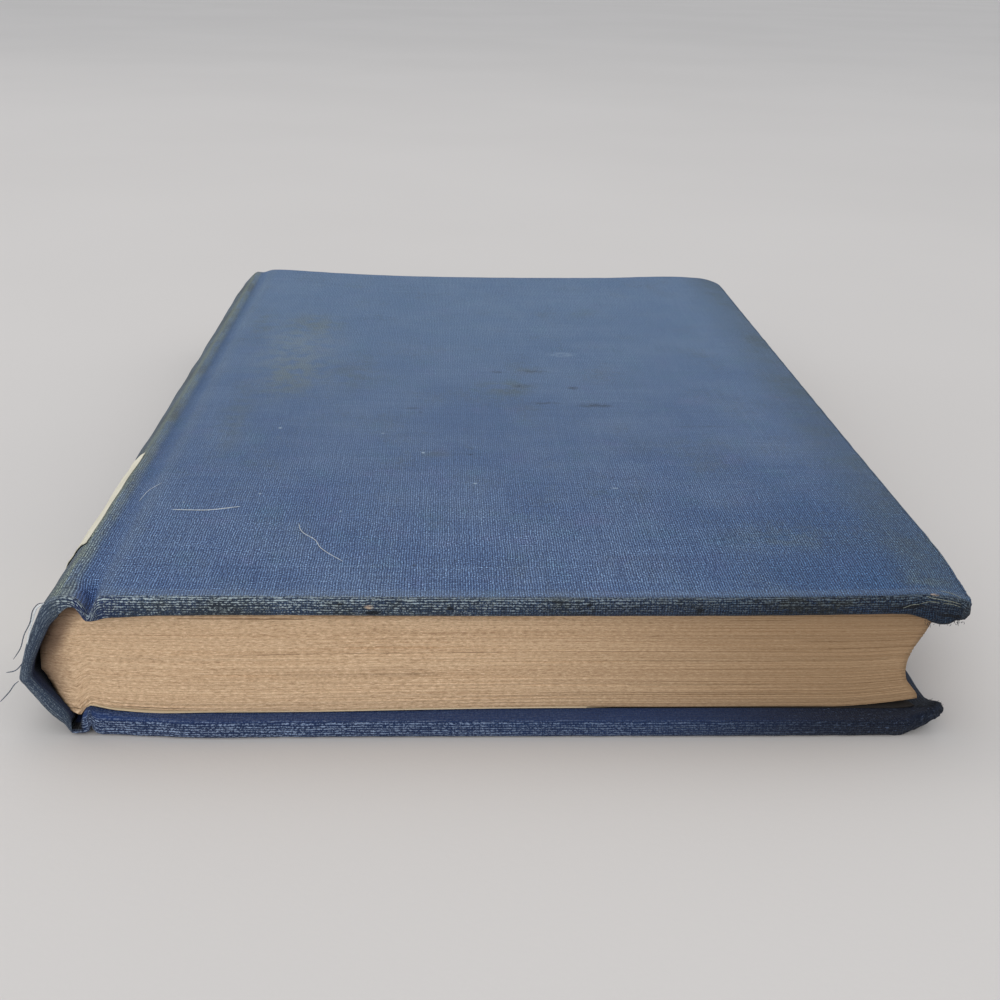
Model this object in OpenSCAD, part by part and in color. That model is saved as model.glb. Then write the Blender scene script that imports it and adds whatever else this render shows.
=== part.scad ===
// A cloth-bound hardback book, lying closed on its back cover.
// X runs from the spine to the fore-edge, Y from the tail of the book to its head, Z up.
// The origin is on the table, under the middle of the closed book.
// Inside the modules x = 0 is the spine edge of the front board, and the frame is shifted at the end.

/* [Pages] */
// Height of the pages from tail to head
leaf_h = 186; // [120:1:260]
// Thickness of all the pages pressed flat
pages_t = 15.8; // [12:0.1:40]
// Thickness of one free endpaper
leaf_t = 0.15; // [0.1:0.01:0.3]
// Reach of the fore-edge past the spine edge of the front board, at the deepest point of its hollow
fore_reach = 114; // [80:0.5:119]
// Height of the deepest point of the hollow above the last leaf
apex_up = 6; // [4:0.1:8]
// How far the first leaf stands out past the deepest point
hollow_front = 3.4; // [1:0.1:5]
// How far the last leaf stands out past the deepest point
hollow_back = 2.4; // [1:0.1:5]
// Rise of the corner of the last leaves over the curled board
leaf_lift = 1; // [0.5:0.1:1.5]
// Length of the lifted corner of the last leaves
leaf_lift_l = 14; // [8:1:30]

/* [Rounded back] */
// Fold of the first section, outside the front board's edge
fold_out_front = 6; // [5.6:0.1:7]
// Fold of the middle sections, outside the front board's edge
fold_out_apex = 9.45; // [8:0.05:11]
// Fold of the last section, outside the front board's edge
fold_out_back = 4.9; // [4.6:0.1:6]
// Bulge of the back between its front shoulder and its furthest point
back_bulge = 0.9; // [0.2:0.1:1.5]
// Rise of the front shoulder above the first leaf
shoulder_front = 0.75; // [0.4:0.05:1]
// Drop of the back shoulder below the last leaf
shoulder_back = 0.6; // [0.4:0.05:0.8]

/* [Boards] */
// Width of a greyboard from spine edge to fore-edge
board_w = 121.3; // [100:0.1:200]
// Thickness of a greyboard
board_t = 1.9; // [1.5:0.1:3]
// Overhang of the covers past the pages at head and tail
square_h = 3; // [2:0.1:6]
// How far the back cover sits nearer the spine, the book having leaned on its shelf
lean = 2; // [0.5:0.1:2.1]

/* [Cloth] */
// Thickness of the book cloth
cloth_t = 0.35; // [0.25:0.01:0.5]
// Width of the cloth turned in on the inner face of a board
turn_in = 15; // [10:1:25]
// Outer radius of the cloth round the edges of a board
edge_r = 1.1; // [0.8:0.05:1.2]
// Outer radius of the cloth over the spine edge of a board
joint_r = 0.8; // [0.6:0.05:1]
// Radius of the cover corners at the tail
tail_corner_r = 2.2; // [1.5:0.1:8]
// Radius of the worn cover corners at the head
head_corner_r = 5; // [1.5:0.1:10]

/* [Spine] */
// Thickness of the card inlay of the spine
inlay_t = 0.4; // [0.2:0.05:0.8]
// Thickness of the gauze
mull_t = 0.3; // [0.2:0.05:0.4]
// Gauze left short of the pages at head and tail
mull_short = 12; // [5:1:30]
// Width of the gauze glued to a board
wing_w = 25; // [15:1:40]
// Thickness of the paper lining of the spine
lining_t = 0.15; // [0.1:0.05:0.3]
// Paper lining left short of the pages at head and tail
lining_short = 5; // [2:1:20]
// Gap between the lining and the case, open so that the spine can flex
hollow = 0.25; // [0.2:0.05:0.5]

/* [Endpapers] */
// Thickness of a pasted-down endpaper
paste_t = 0.15; // [0.1:0.01:0.3]
// Board edge left bare of the pasted-down endpaper
paste_margin = 3.2; // [2:0.1:8]
// Gap between the sunk part of the pasted-down endpaper and the turn-ins round it
paste_gap = 0.1; // [0.05:0.05:0.5]
// Gap between the pasted-down endpaper and the free one
leaf_gap = 0.15; // [0.1:0.01:0.3]
// Where the tear of the last leaf starts, past the front board's spine edge
torn_from = 68.6; // [40:0.1:100]
// Length of the tear of the last leaf along the fore-edge
torn_up = 33; // [10:1:60]

/* [Label] */
// Thickness of the paper label
label_t = 0.12; // [0.08:0.01:0.3]
// Distance of the label from the tail of the cover
label_up = 21; // [5:1:100]
// Height of the label
label_h = 33; // [10:1:60]
// Slant of the label's torn end
label_torn = 5; // [1:0.5:8]

/* [Joints] */
// Distance of both hinge lines from the front board's spine edge
hinge_out = 5; // [4.8:0.1:5.5]
// Outer radius of the front ridge
ridge_front_r = 1.7; // [1.5:0.05:1.8]
// Outer radius of the back ridge
ridge_back_r = 1.2; // [1:0.05:1.4]
// Clearance of the back ridge from the table
ridge_lift = 0.3; // [0.1:0.05:0.5]
// Reach of the spine cloth from a hinge line into its groove
groove_reach = 2.15; // [2:0.05:2.3]
// Clearance between the spine cloth and the cloth that turns with a cover
joint_gap = 0.35; // [0.3:0.05:0.5]

/* [Hidden] */
$fn = 64;
steps = 8;
reach = 400;

// Covers
cover_w = board_w + 2 * cloth_t;
cover_t = board_t + 2 * cloth_t;
cover_h = leaf_h + 2 * square_h;
board_h = cover_h - 2 * cloth_t;
board_face = cloth_t + board_t;

// Levels of the pages between the covers
under_pages = cover_t + paste_t + leaf_gap + leaf_t;
over_pages = under_pages + pages_t;
total_t = over_pages + under_pages;

// Hinge lines in the X-Z plane, and the start of the cloth that turns about them
front_hinge = [-hinge_out, total_t - ridge_front_r];
back_hinge = [-hinge_out, ridge_back_r + ridge_lift];
turning_from = groove_reach + joint_gap - hinge_out;
front_strip = -turning_from;
back_strip = -lean - turning_from;

// Layers of the case over the rounded back
inner_turn = cloth_t + inlay_t;
case_wall = inner_turn + cloth_t;
lining_face = mull_t + lining_t;
case_face = lining_face + hollow + case_wall;

function polar(centre, r, angle) = centre + r * [cos(angle), sin(angle)];
function arc(centre, r, from, to, n) = [for (i = [0:n]) polar(centre, r, from + (to - from) * i / n)];
function unit(v) = v / norm(v);
function left_of(v) = [-v[1], v[0]];
function reversed(path) = [for (i = [len(path) - 1:-1:0]) path[i]];

// A stretch from p to q that bulges to the right of its direction, as a parabola
function bowed(p, q, bulge, n) =
    [for (i = [0:n]) p + (q - p) * i / n - left_of(unit(q - p)) * bulge * 4 * i * (n - i) / (n * n)];

// A path moved to its left by a depth, which may differ from point to point
function side_before(path, i) = left_of(unit(path[max(i, 1)] - path[max(i, 1) - 1]));
function side_after(path, i) =
    left_of(unit(path[min(i, len(path) - 2) + 1] - path[min(i, len(path) - 2)]));
function moved(path, depths) = [for (i = [0:len(path) - 1])
    path[i] + depths[i] * (side_before(path, i) + side_after(path, i))
        / (1 + side_before(path, i) * side_after(path, i))];
function same(path, depth) = [for (p = path) depth];

// The folds of the sections, from the front shoulder round to the back one
fold_front = [-fold_out_front, over_pages];
fold_apex = [-fold_out_apex, under_pages + apex_up];
fold_back = [-fold_out_back, under_pages];
back_upper = bowed(fold_front, fold_apex, back_bulge, steps);
back_lower = [for (i = [1:steps / 2]) fold_apex + (fold_back - fold_apex) * i / (steps / 2)];
back_path = concat(back_upper, back_lower);

// The outside of the spine cloth, from the front groove over both ridges to the back groove
front_flank = [polar(front_hinge, groove_reach, -4)];
front_ridge = arc(front_hinge, ridge_front_r, 42, 158, steps);
back_outside = moved(back_path, same(back_path, -case_face));
back_ridge = arc(back_hinge, ridge_back_r, 216, 312, steps);
back_flank = [polar(back_hinge, groove_reach, 5)];
spine_path = concat(front_flank, front_ridge, back_outside, back_ridge, back_flank);
inlay_from = len(front_flank) + len(front_ridge);
inlay_to = inlay_from + len(back_outside) - 1;

// The turned-in end of the spine cloth lies behind the inlay, and against the cloth elsewhere
turn_depths = [for (i = [0:len(spine_path) - 1])
    i >= inlay_from && i <= inlay_to ? inner_turn : cloth_t];

// The part of the frame that is shifted so that its origin is under the middle
label_face = moved(back_outside, same(back_outside, -label_t));
left_x = min([for (p = label_face) p[0]]);
middle_x = (left_x + cover_w) / 2;

module placed() {
    translate([-middle_x, 0, 0]) children();
}

// Draws an X-Z profile between two Y values
module along(from, to) {
    translate([0, to, 0]) rotate([90, 0, 0]) linear_extrude(to - from) children();
}

// The profile between two depths to the left of a path
module band(path, outer, inner) {
    polygon(concat(moved(path, outer), reversed(moved(path, inner))));
}

module plate(x0, x1, h, z0, t) {
    translate([x0, -h / 2, z0]) cube([x1 - x0, h, t]);
}

// A rectangle with its own radius at each corner: near left, near right, far right, far left
module rounded_rectangle(w, h, radii) {
    corners = [[0, 0], [w, 0], [w, h], [0, h]];
    inward = [[1, 1], [-1, 1], [-1, -1], [1, -1]];
    difference() {
        square([w, h]);
        for (i = [0:3]) {
            r = radii[i];
            if (r > 0) {
                centre = corners[i] + inward[i] * r;
                difference() {
                    translate(corners[i] + inward[i] * r / 2 - [r / 2, r / 2]) square(r);
                    translate(centre) circle(r);
                }
            }
        }
    }
}

// A board with rounded edges and corners. Its outer face is at z = 0 and its spine edge at x = 0
module board_form(w, h, t, edge, joint, tail_corner, head_corner) {
    intersection() {
        along(-h / 2, h / 2) rounded_rectangle(w, t, [joint, edge, edge, 0]);
        translate([0, -h / 2, 0]) rotate([90, 0, 90]) linear_extrude(w)
            rounded_rectangle(h, t, [edge, edge, edge, edge]);
        translate([0, -h / 2, 0]) linear_extrude(t)
            rounded_rectangle(w, h, [0, tail_corner, head_corner, 0]);
    }
}

// Cover parts are drawn with the outer face at z = 0 and the pages above it
module as_front() {
    placed() translate([0, 0, total_t]) mirror([0, 0, 1]) children();
}

module as_back() {
    placed() translate([-lean, 0, 0]) children();
}

module greyboard() {
    translate([cloth_t, 0, cloth_t])
        board_form(board_w, board_h, board_t, edge_r - cloth_t, joint_r - cloth_t,
                   tail_corner_r - cloth_t, head_corner_r - cloth_t);
}

// Cloth round a board, with its turn-ins and the strip that lies in the joint
module cover_cloth(strip) {
    difference() {
        union() {
            board_form(cover_w, cover_h, cover_t, edge_r, joint_r, tail_corner_r, head_corner_r);
            plate(-strip, edge_r, cover_h, board_face - cloth_t, 2 * cloth_t);
        }
        greyboard();
        plate(-strip, cover_w - turn_in, cover_h - 2 * turn_in, board_face, cover_t);
    }
}

// Gauze glued to the inner face of a board, between the turn-ins
module mull_wing(strip) {
    plate(-strip, wing_w, cover_h - 2 * turn_in, board_face, mull_t);
}

// Endpaper pasted over the turn-ins and the gauze, and down onto the board between them
module pastedown(strip) {
    sheet_w = cover_w - paste_margin;
    sunk_w = cover_w - turn_in - paste_gap;
    sunk_h = cover_h - 2 * turn_in - 2 * paste_gap;
    wall_top = board_face + min(mull_t, cloth_t) + paste_t;
    difference() {
        plate(-strip, sheet_w, cover_h - 2 * paste_margin, cover_t, paste_t);
        plate(-strip, sunk_w - paste_t, sunk_h - 2 * paste_t, cover_t, paste_t);
    }
    plate(-strip, wing_w, sunk_h, board_face + mull_t, paste_t);
    difference() {
        plate(wing_w, sunk_w, sunk_h, board_face, wall_top - board_face);
        plate(wing_w + paste_t, sunk_w - paste_t, sunk_h - 2 * paste_t, board_face + paste_t, cover_t);
    }
}

// The fore-edge hollow, where each leaf follows the rounding of the back
function fore_x(depth, share) = fore_reach + depth * pow(share, 1.25);
fore_lower = [for (i = [steps:-1:1]) [fore_x(hollow_back, i / steps), under_pages + apex_up * (1 - i / steps)]];
fore_upper = [for (i = [0:steps])
    [fore_x(hollow_front, i / steps), under_pages + apex_up + (pages_t - apex_up) * i / steps]];
fore_path = concat(fore_lower, fore_upper);

// Where the flat of the pages ends and the shoulders start
shoulder_x = turning_from - joint_gap;
front_tip = [(shoulder_x - fold_out_front) / 2 - 0.4, over_pages + shoulder_front];
back_tip = [(shoulder_x - fold_out_back) / 2 - 0.4, under_pages - shoulder_back];
first_leaf = [fore_path[len(fore_path) - 1], [shoulder_x, over_pages], front_tip];
last_leaf = [back_tip, [shoulder_x, under_pages], fore_path[0]];

module text_block() {
    lift_angle = atan(leaf_lift / leaf_lift_l);
    lift_spot = [fore_path[0][0] - leaf_lift_l / sqrt(2), leaf_lift_l / sqrt(2) - leaf_h / 2, under_pages];
    color("burlywood") placed() difference() {
        along(-leaf_h / 2, leaf_h / 2) polygon(concat(first_leaf, back_path, last_leaf, fore_path));
        translate(lift_spot) rotate([0, 0, -135]) rotate([lift_angle, 0, 0])
            translate([-reach / 2, -reach / 2, -reach]) cube(reach);
    }
}

module front_flyleaf() {
    color("wheat") placed() along(-leaf_h / 2, leaf_h / 2)
        band(first_leaf, same(first_leaf, -leaf_t), same(first_leaf, 0));
}

// The tear runs from the tail to the fore-edge in a few uneven steps
module back_flyleaf() {
    tear_w = fore_path[0][0] - torn_from;
    color("wheat") placed() difference() {
        along(-leaf_h / 2, leaf_h / 2)
            band(last_leaf, same(last_leaf, -leaf_t), same(last_leaf, 0));
        translate([torn_from, -leaf_h / 2, 0]) linear_extrude(total_t)
            polygon([[0, -1], [0, 0], [0.12 * tear_w, 0.2 * torn_up], [0.4 * tear_w, 0.35 * torn_up],
                     [0.68 * tear_w, 0.6 * torn_up], [0.9 * tear_w, 0.75 * torn_up],
                     [tear_w + 1, torn_up], [tear_w + 1, -1]]);
    }
}

module mull() {
    half = leaf_h / 2 - mull_short;
    color("oldlace") placed() along(-half, half)
        band(back_path, same(back_path, -mull_t), same(back_path, 0));
}

module spine_lining() {
    half = leaf_h / 2 - lining_short;
    color("tan") placed() along(-half, half)
        band(back_path, same(back_path, -lining_face), same(back_path, -mull_t));
}

module spine_inlay() {
    color("peru") placed() along(-board_h / 2, board_h / 2)
        band(back_outside, same(back_outside, inner_turn), same(back_outside, cloth_t));
}

// One layer of cloth over the whole spine, folded in at head and tail
module spine_cloth() {
    folded = [for (d = turn_depths) d + cloth_t];
    color("slategray") placed() {
        along(-cover_h / 2, cover_h / 2)
            band(spine_path, same(spine_path, 0), same(spine_path, cloth_t));
        for (side = [-1, 1]) {
            end = side * cover_h / 2;
            inner = side * (cover_h / 2 - turn_in);
            fold = side * (cover_h / 2 - cloth_t);
            along(min(end, inner), max(end, inner)) band(spine_path, turn_depths, folded);
            along(min(end, fold), max(end, fold)) band(spine_path, same(spine_path, 0), folded);
        }
    }
}

module spine_label() {
    tail = label_up - cover_h / 2;
    color("ivory") placed() difference() {
        along(tail, tail + label_h)
            band(back_outside, same(back_outside, -label_t), same(back_outside, 0));
        translate([0, tail, 0]) rotate([90, 0, 90]) translate([0, 0, -reach / 2]) linear_extrude(reach)
            polygon([[-1, -1], [label_torn, -1], [0, total_t / 2], [0, total_t], [-1, total_t]]);
    }
}

module front_board() {
    color("darkkhaki") as_front() greyboard();
}

module back_board() {
    color("darkkhaki") as_back() greyboard();
}

module front_cover_cloth() {
    color("steelblue") as_front() cover_cloth(front_strip);
}

module back_cover_cloth() {
    color("steelblue") as_back() cover_cloth(back_strip);
}

module front_mull_wing() {
    color("oldlace") as_front() mull_wing(front_strip);
}

module back_mull_wing() {
    color("oldlace") as_back() mull_wing(back_strip);
}

module front_pastedown() {
    color("wheat") as_front() pastedown(front_strip);
}

module back_pastedown() {
    color("wheat") as_back() pastedown(back_strip);
}

text_block();
front_board();
back_board();
front_cover_cloth();
spine_cloth();
back_cover_cloth();
spine_inlay();
mull();
front_mull_wing();
back_mull_wing();
spine_lining();
front_pastedown();
front_flyleaf();
back_pastedown();
back_flyleaf();
spine_label();
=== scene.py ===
# A cloth-bound hardback book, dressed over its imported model.
# Sizes are in millimetres, and positions count from the near corner of the front board's
# spine edge, with X to the fore-edge, Y to the head and Z up from the table.
import math

import bmesh
import bpy
import numpy as np
from mathutils import Matrix, Vector


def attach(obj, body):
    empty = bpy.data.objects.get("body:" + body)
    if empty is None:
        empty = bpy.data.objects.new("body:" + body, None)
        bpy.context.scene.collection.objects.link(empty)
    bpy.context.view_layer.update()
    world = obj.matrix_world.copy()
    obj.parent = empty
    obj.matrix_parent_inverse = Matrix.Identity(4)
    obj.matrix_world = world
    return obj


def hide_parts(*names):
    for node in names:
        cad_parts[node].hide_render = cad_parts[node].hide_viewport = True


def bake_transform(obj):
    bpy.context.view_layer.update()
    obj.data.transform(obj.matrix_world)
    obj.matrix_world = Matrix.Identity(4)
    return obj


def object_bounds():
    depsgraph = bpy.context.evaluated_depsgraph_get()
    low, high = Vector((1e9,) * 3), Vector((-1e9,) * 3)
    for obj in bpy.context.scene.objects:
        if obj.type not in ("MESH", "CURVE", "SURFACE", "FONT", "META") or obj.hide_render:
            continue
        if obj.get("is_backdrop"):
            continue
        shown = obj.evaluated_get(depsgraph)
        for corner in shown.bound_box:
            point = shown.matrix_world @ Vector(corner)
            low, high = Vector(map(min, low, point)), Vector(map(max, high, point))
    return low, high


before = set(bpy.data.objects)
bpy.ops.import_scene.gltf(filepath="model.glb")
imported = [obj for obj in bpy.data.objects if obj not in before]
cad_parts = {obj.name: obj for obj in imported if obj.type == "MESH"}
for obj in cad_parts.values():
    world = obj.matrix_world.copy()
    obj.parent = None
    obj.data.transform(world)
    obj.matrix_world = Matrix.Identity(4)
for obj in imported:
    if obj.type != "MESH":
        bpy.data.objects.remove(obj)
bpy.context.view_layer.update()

# The pages
# About 160 leaves of soft wood-pulp paper, gone brown at the edges, folded in sections
# and sewn through the folds. The back was rounded under the hammer, so the fore-edge is
# hollow. The block has dropped towards the tail at its lower spine corner.
SPINE_EDGE_X, TAIL_Y = 55.3, 96.0
LEAF_TAIL, LEAF_HEAD = 3.0, 189.0
PAGES_BOTTOM, PAGES_TOP = 3.05, 18.85
LEAVES = 158


def row_points(points):
    """Book positions in millimetres as row-frame positions in metres."""
    return (np.asarray(points, float) - [SPINE_EDGE_X, TAIL_Y, 0.0]) * 0.001


def through(x, xs, ys):
    """A smooth curve through measured points, held level past both ends."""
    xs, ys = np.asarray(xs, float), np.asarray(ys, float)
    slope = np.gradient(ys, xs)
    x = np.clip(x, xs[0], xs[-1])
    i = np.clip(np.searchsorted(xs, x) - 1, 0, len(xs) - 2)
    h = xs[i + 1] - xs[i]
    t = (x - xs[i]) / h
    start = (1 + 2 * t) * (1 - t) ** 2 * ys[i] + t * (1 - t) ** 2 * h * slope[i]
    return start + t * t * (3 - 2 * t) * ys[i + 1] + t * t * (t - 1) * h * slope[i + 1]


def ease(t):
    t = np.clip(t, 0, 1)
    return t * t * (3 - 2 * t)


def waves(seed, a, b, size_a, size_b):
    """Soft unevenness of about -1 to 1, made of a few waves of roughly that size."""
    r = np.random.default_rng(seed)
    total = 0.0
    for _ in range(6):
        fa, fb = r.uniform(0.5, 1.6, 2) * r.choice([-1, 1], 2)
        total = total + np.sin(2 * np.pi * (a * fa / size_a + b * fb / size_b) + r.uniform(0, 6.3))
    return total / 2.6


def built(name, patches, at_name, flip=False):
    """One smooth mesh from grids of points, welded where the grids meet. Each grid comes
    with the place of its points in the flat material, kept as an attribute."""
    verts, places, faces, base = [], [], [], 0
    for points, at in patches:
        n, m = points.shape[:2]
        verts.append(points.reshape(-1, 3))
        places.append(at.reshape(-1, 3))
        i, j = np.meshgrid(np.arange(n - 1), np.arange(m - 1), indexing="ij")
        a = base + i * m + j
        faces.append(np.stack([a, a + m, a + m + 1, a + 1], -1).reshape(-1, 4))
        base += n * m
    faces = np.concatenate(faces)
    if flip:
        faces = faces[:, ::-1]
    mesh = bpy.data.meshes.new(name)
    mesh.from_pydata(row_points(np.concatenate(verts)).tolist(), [], faces.tolist())
    layer = mesh.attributes.new(at_name, "FLOAT_VECTOR", "POINT")
    layer.data.foreach_set("vector", np.concatenate(places).astype(np.float32).ravel())
    shell = bmesh.new()
    shell.from_mesh(mesh)
    bmesh.ops.remove_doubles(shell, verts=shell.verts, dist=2e-6)
    bmesh.ops.dissolve_degenerate(shell, edges=shell.edges, dist=1e-7)
    shell.to_mesh(mesh)
    shell.free()
    mesh.polygons.foreach_set("use_smooth", [True] * len(mesh.polygons))
    piece = bpy.data.objects.new(name, mesh)
    bpy.context.scene.collection.objects.link(piece)
    return piece


def front_warp(x, y):
    """Lift of the front board: swollen by the tail corner, and dished at the head."""
    tail = through(x, [0, 70, 96, 110, 115.5, 118.5, 122], [0, 0, 0.2, 0.5, 0.65, 0.3, -0.5])
    head = through(x, [-4, 1.6, 9, 16, 30, 62, 90, 114, 119, 122.5],
                   [0.15, 0.7, 0.45, 0.1, -0.4, -0.6, -0.25, 0.25, -0.1, -0.7])
    return tail * np.exp(-((y / 16.0) ** 2)) + head * ease(y / 192.0)


def tail_bump(x, y):
    """Lift of everything over the back joint, which bulges at the tail."""
    along = through(x, [-4.8, -3.8, -3.2, -2.5, -1.5, 0.5, 3, 8, 16, 30],
                    [0, 0.15, 0.8, 1.45, 1.35, 0.95, 0.75, 0.45, 0.2, 0])
    return along * (1 - ease((y - 3) / 15.0))


def corner_curl(x, y):
    """Lift of the back cover's near fore-edge corner, curled up and worn to a tip."""
    toward = (x - 112.4) / 7.0 - np.clip(y, 0, None) / 8.5
    return 4.6 * np.clip(toward, 0, 1.2) ** 1.7


def block_spine_x(z, y):
    """The rounded back: the folds of the sections, by height. They flare at the tail."""
    share = np.clip((PAGES_TOP - z) / 9.8, 0, 1)
    upper = -6.0 - 3.45 * share - 0.9 * 4 * share * (1 - share) * 0.95
    lower = -9.45 + (9.05 - z) / 6.0 * 4.55
    at_tail = 1 - ease((np.asarray(y) - 1) / 4.0)
    flare = np.sin(np.pi * np.clip((8.6 - z) / 5.6, 0, 1)) - 0.55 * np.exp(-((z - 9.6) / 2.2) ** 2)
    return np.where(z > 9.05, upper, lower) - at_tail * flare


def block_fore_x(z):
    return through(z, [3.05, 4.1, 5.2, 6.9, 8.9, 11.6, 14.6, 17.1, 18.85],
                   [116.5, 116.2, 115.4, 114.45, 114.1, 114.5, 115.8, 116.8, 117.4])


def block_bottom(x, y):
    lifted = 1.45 * np.clip((x - 104) / 12.5 - (y - 3) / 24.0, 0, 1) ** 1.6
    shoulder = np.interp(x, [-4.9, -4.3, -2.9], [0, -0.55, 0])
    return PAGES_BOTTOM + shoulder + tail_bump(x, y) + lifted


def block_top(x, y):
    shoulder = np.interp(x, [-6, -4.85, -2.9], [0, 0.7, 0])
    return PAGES_TOP + shoulder + np.minimum(front_warp(x, y), 0) * ease((x + 3) / 8)


leaf_random = np.random.default_rng(11)
leaf_step = leaf_random.normal(0, 0.04, LEAVES + 1)
section_step = np.repeat(leaf_random.normal(0, 0.055, LEAVES // 16 + 2), 16)[: LEAVES + 1]
# Leaves that stand back from the rest: level in the block, from x, to x, depth
short_leaves = [(0.955, 12, 24, 0.6), (0.935, 23, 62, 0.5), (0.905, 44, 70, 0.25), (0.62, 22, 58, 0.3),
                (0.68, 96, 116, 0.3), (0.60, 88, 116, 0.22), (0.47, 60, 116, 0.15), (0.22, 40, 116, 0.18),
                (0.77, 30, 110, 0.15), (0.35, 10, 50, 0.2), (0.12, 70, 116, 0.2)]


def edge_relief(level, along, seed):
    """How far each leaf's edge stands in or out of the trimmed edge."""
    leaf = np.clip(np.round(level * LEAVES).astype(int), 0, LEAVES)
    fine = 0.03 * waves(seed, level * LEAVES, along * 0.02, 3.1, 1.0)
    return leaf_step[leaf] + section_step[leaf] * 0.7 + fine


level, share = np.meshgrid(np.linspace(0, 1, LEAVES + 1), np.linspace(0, 1, 111), indexing="ij")


def block_point(level, share, y):
    z0 = PAGES_BOTTOM + level * (PAGES_TOP - PAGES_BOTTOM)
    back = block_spine_x(z0, y)
    x = back + share * (block_fore_x(z0) - back)
    z = block_bottom(x, y) + level * (block_top(x, y) - block_bottom(x, y))
    return x, z


x, z = block_point(level, share, LEAF_TAIL)
dropped = 1.75 * (1 - ease((x - 2) / 66)) * (1 - 0.75 * level) * ease((x + 9) / 5)
recess = np.zeros_like(x)
for at_level, x0, x1, depth in short_leaves:
    inside = ease((x - x0) / 6) * ease((x1 - x) / 4)
    recess += depth * inside * (np.abs(level - at_level - 0.0006 * (x - x0) * 0.3) < 0.0045)
tail_y = LEAF_TAIL - dropped + edge_relief(level, x, 3) + recess
tail_y += 0.35 * np.exp(-((x + 8.5) / 1.2) ** 2)
x, z = block_point(level, share, tail_y)
tail_face = np.stack([x, tail_y, z], -1)
tail_at = np.stack([x, tail_y, level * LEAVES], -1)

head_y = LEAF_HEAD + edge_relief(level, x, 4)
x, z = block_point(level, share, head_y)
head_face = np.stack([x, head_y, z], -1)
head_at = np.stack([x, head_y, level * LEAVES], -1)

across = np.linspace(0, 1, 71)[None, :]
level2 = np.linspace(0, 1, LEAVES + 1)[:, None] * np.ones_like(across)


def long_side(near, far, seed, outward):
    """A face of the block from the tail face's edge to the head face's edge."""
    points = near[:, None, :] * (1 - across[..., None]) + far[:, None, :] * across[..., None]
    y = points[..., 1]
    x, z = block_point(level2, 1.0 if outward > 0 else 0.0, y)
    middle = np.sin(np.pi * across) ** 0.3
    points[..., 0] = x + outward * middle * edge_relief(level2, y, seed) * (1.0 if outward > 0 else 0.3)
    points[..., 2] = z
    return points, np.stack([points[..., 0], y, level2 * LEAVES], -1)


fore_face, fore_at = long_side(tail_face[:, -1], head_face[:, -1], 5, 1)
back_face, back_at = long_side(tail_face[:, 0], head_face[:, 0], 6, -1)


def flat_side(near, far, which):
    """The first or the last leaf of the block."""
    y = near[:, None, 1] * (1 - across) + far[:, None, 1] * across
    x = near[:, None, 0] * (1 - across) + far[:, None, 0] * across
    z = block_top(x, y) if which else block_bottom(x, y)
    return np.stack([x, y, z], -1), np.stack([x, y, np.full_like(x, which * LEAVES)], -1)


top_face, top_at = flat_side(tail_face[-1], head_face[-1], 1)
bottom_face, bottom_at = flat_side(tail_face[0], head_face[0], 0)
text_pages = built("pages", [
    (tail_face, tail_at), (head_face[:, ::-1], head_at[:, ::-1]), (fore_face, fore_at),
    (back_face[:, ::-1], back_at[:, ::-1]), (top_face[::-1], top_at[::-1]), (bottom_face, bottom_at)],
    "leaf_at", flip=True)


def put(tree, value, socket):
    """Feeds a socket from another socket, or sets it to a plain value."""
    if isinstance(value, bpy.types.NodeSocket):
        tree.links.new(value, socket)
    elif value is not None:
        socket.default_value = value


def math_of(tree, operation, a, b=None, c=None, clamp=False):
    n = tree.nodes.new("ShaderNodeMath")
    n.operation, n.use_clamp = operation, clamp
    for value, socket in zip((a, b, c), n.inputs):
        put(tree, value, socket)
    return n.outputs[0]


def stretched(tree, at, factors):
    n = tree.nodes.new("ShaderNodeVectorMath")
    n.operation = "MULTIPLY"
    put(tree, at, n.inputs[0])
    n.inputs[1].default_value = factors
    return n.outputs[0]


def noise_of(tree, at, scale, detail=2.0, roughness=0.5, distortion=0.0):
    n = tree.nodes.new("ShaderNodeTexNoise")
    put(tree, at, n.inputs["Vector"])
    for name, value in (("Scale", scale), ("Detail", detail), ("Roughness", roughness), ("Distortion", distortion)):
        n.inputs[name].default_value = value
    return n.outputs["Fac"]


def span(tree, value, low, high, to_low=0.0, to_high=1.0, smooth=True):
    """A value taken from one range to another, and held at the ends."""
    n = tree.nodes.new("ShaderNodeMapRange")
    n.interpolation_type = "SMOOTHSTEP" if smooth else "LINEAR"
    for got, socket in zip((value, low, high, to_low, to_high), n.inputs):
        put(tree, got, socket)
    return n.outputs[0]


def srgb(r, g, b):
    """A colour in 0 to 255 as it looks on a screen, as the linear colour a shader takes."""
    return tuple((c / 3294.6 if c <= 10.3 else ((c / 255 + 0.055) / 1.055) ** 2.4) for c in (r, g, b)) + (1.0,)


def tint(tree, factor, a, b, mode="MIX"):
    n = tree.nodes.new("ShaderNodeMix")
    n.data_type, n.blend_type, n.clamp_factor = "RGBA", mode, True
    for value, socket in zip((factor, a, b), (n.inputs[0], n.inputs[6], n.inputs[7])):
        put(tree, value, socket)
    return n.outputs[2]


def parts_of(tree, at):
    n = tree.nodes.new("ShaderNodeSeparateXYZ")
    put(tree, at, n.inputs[0])
    return n.outputs


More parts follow.
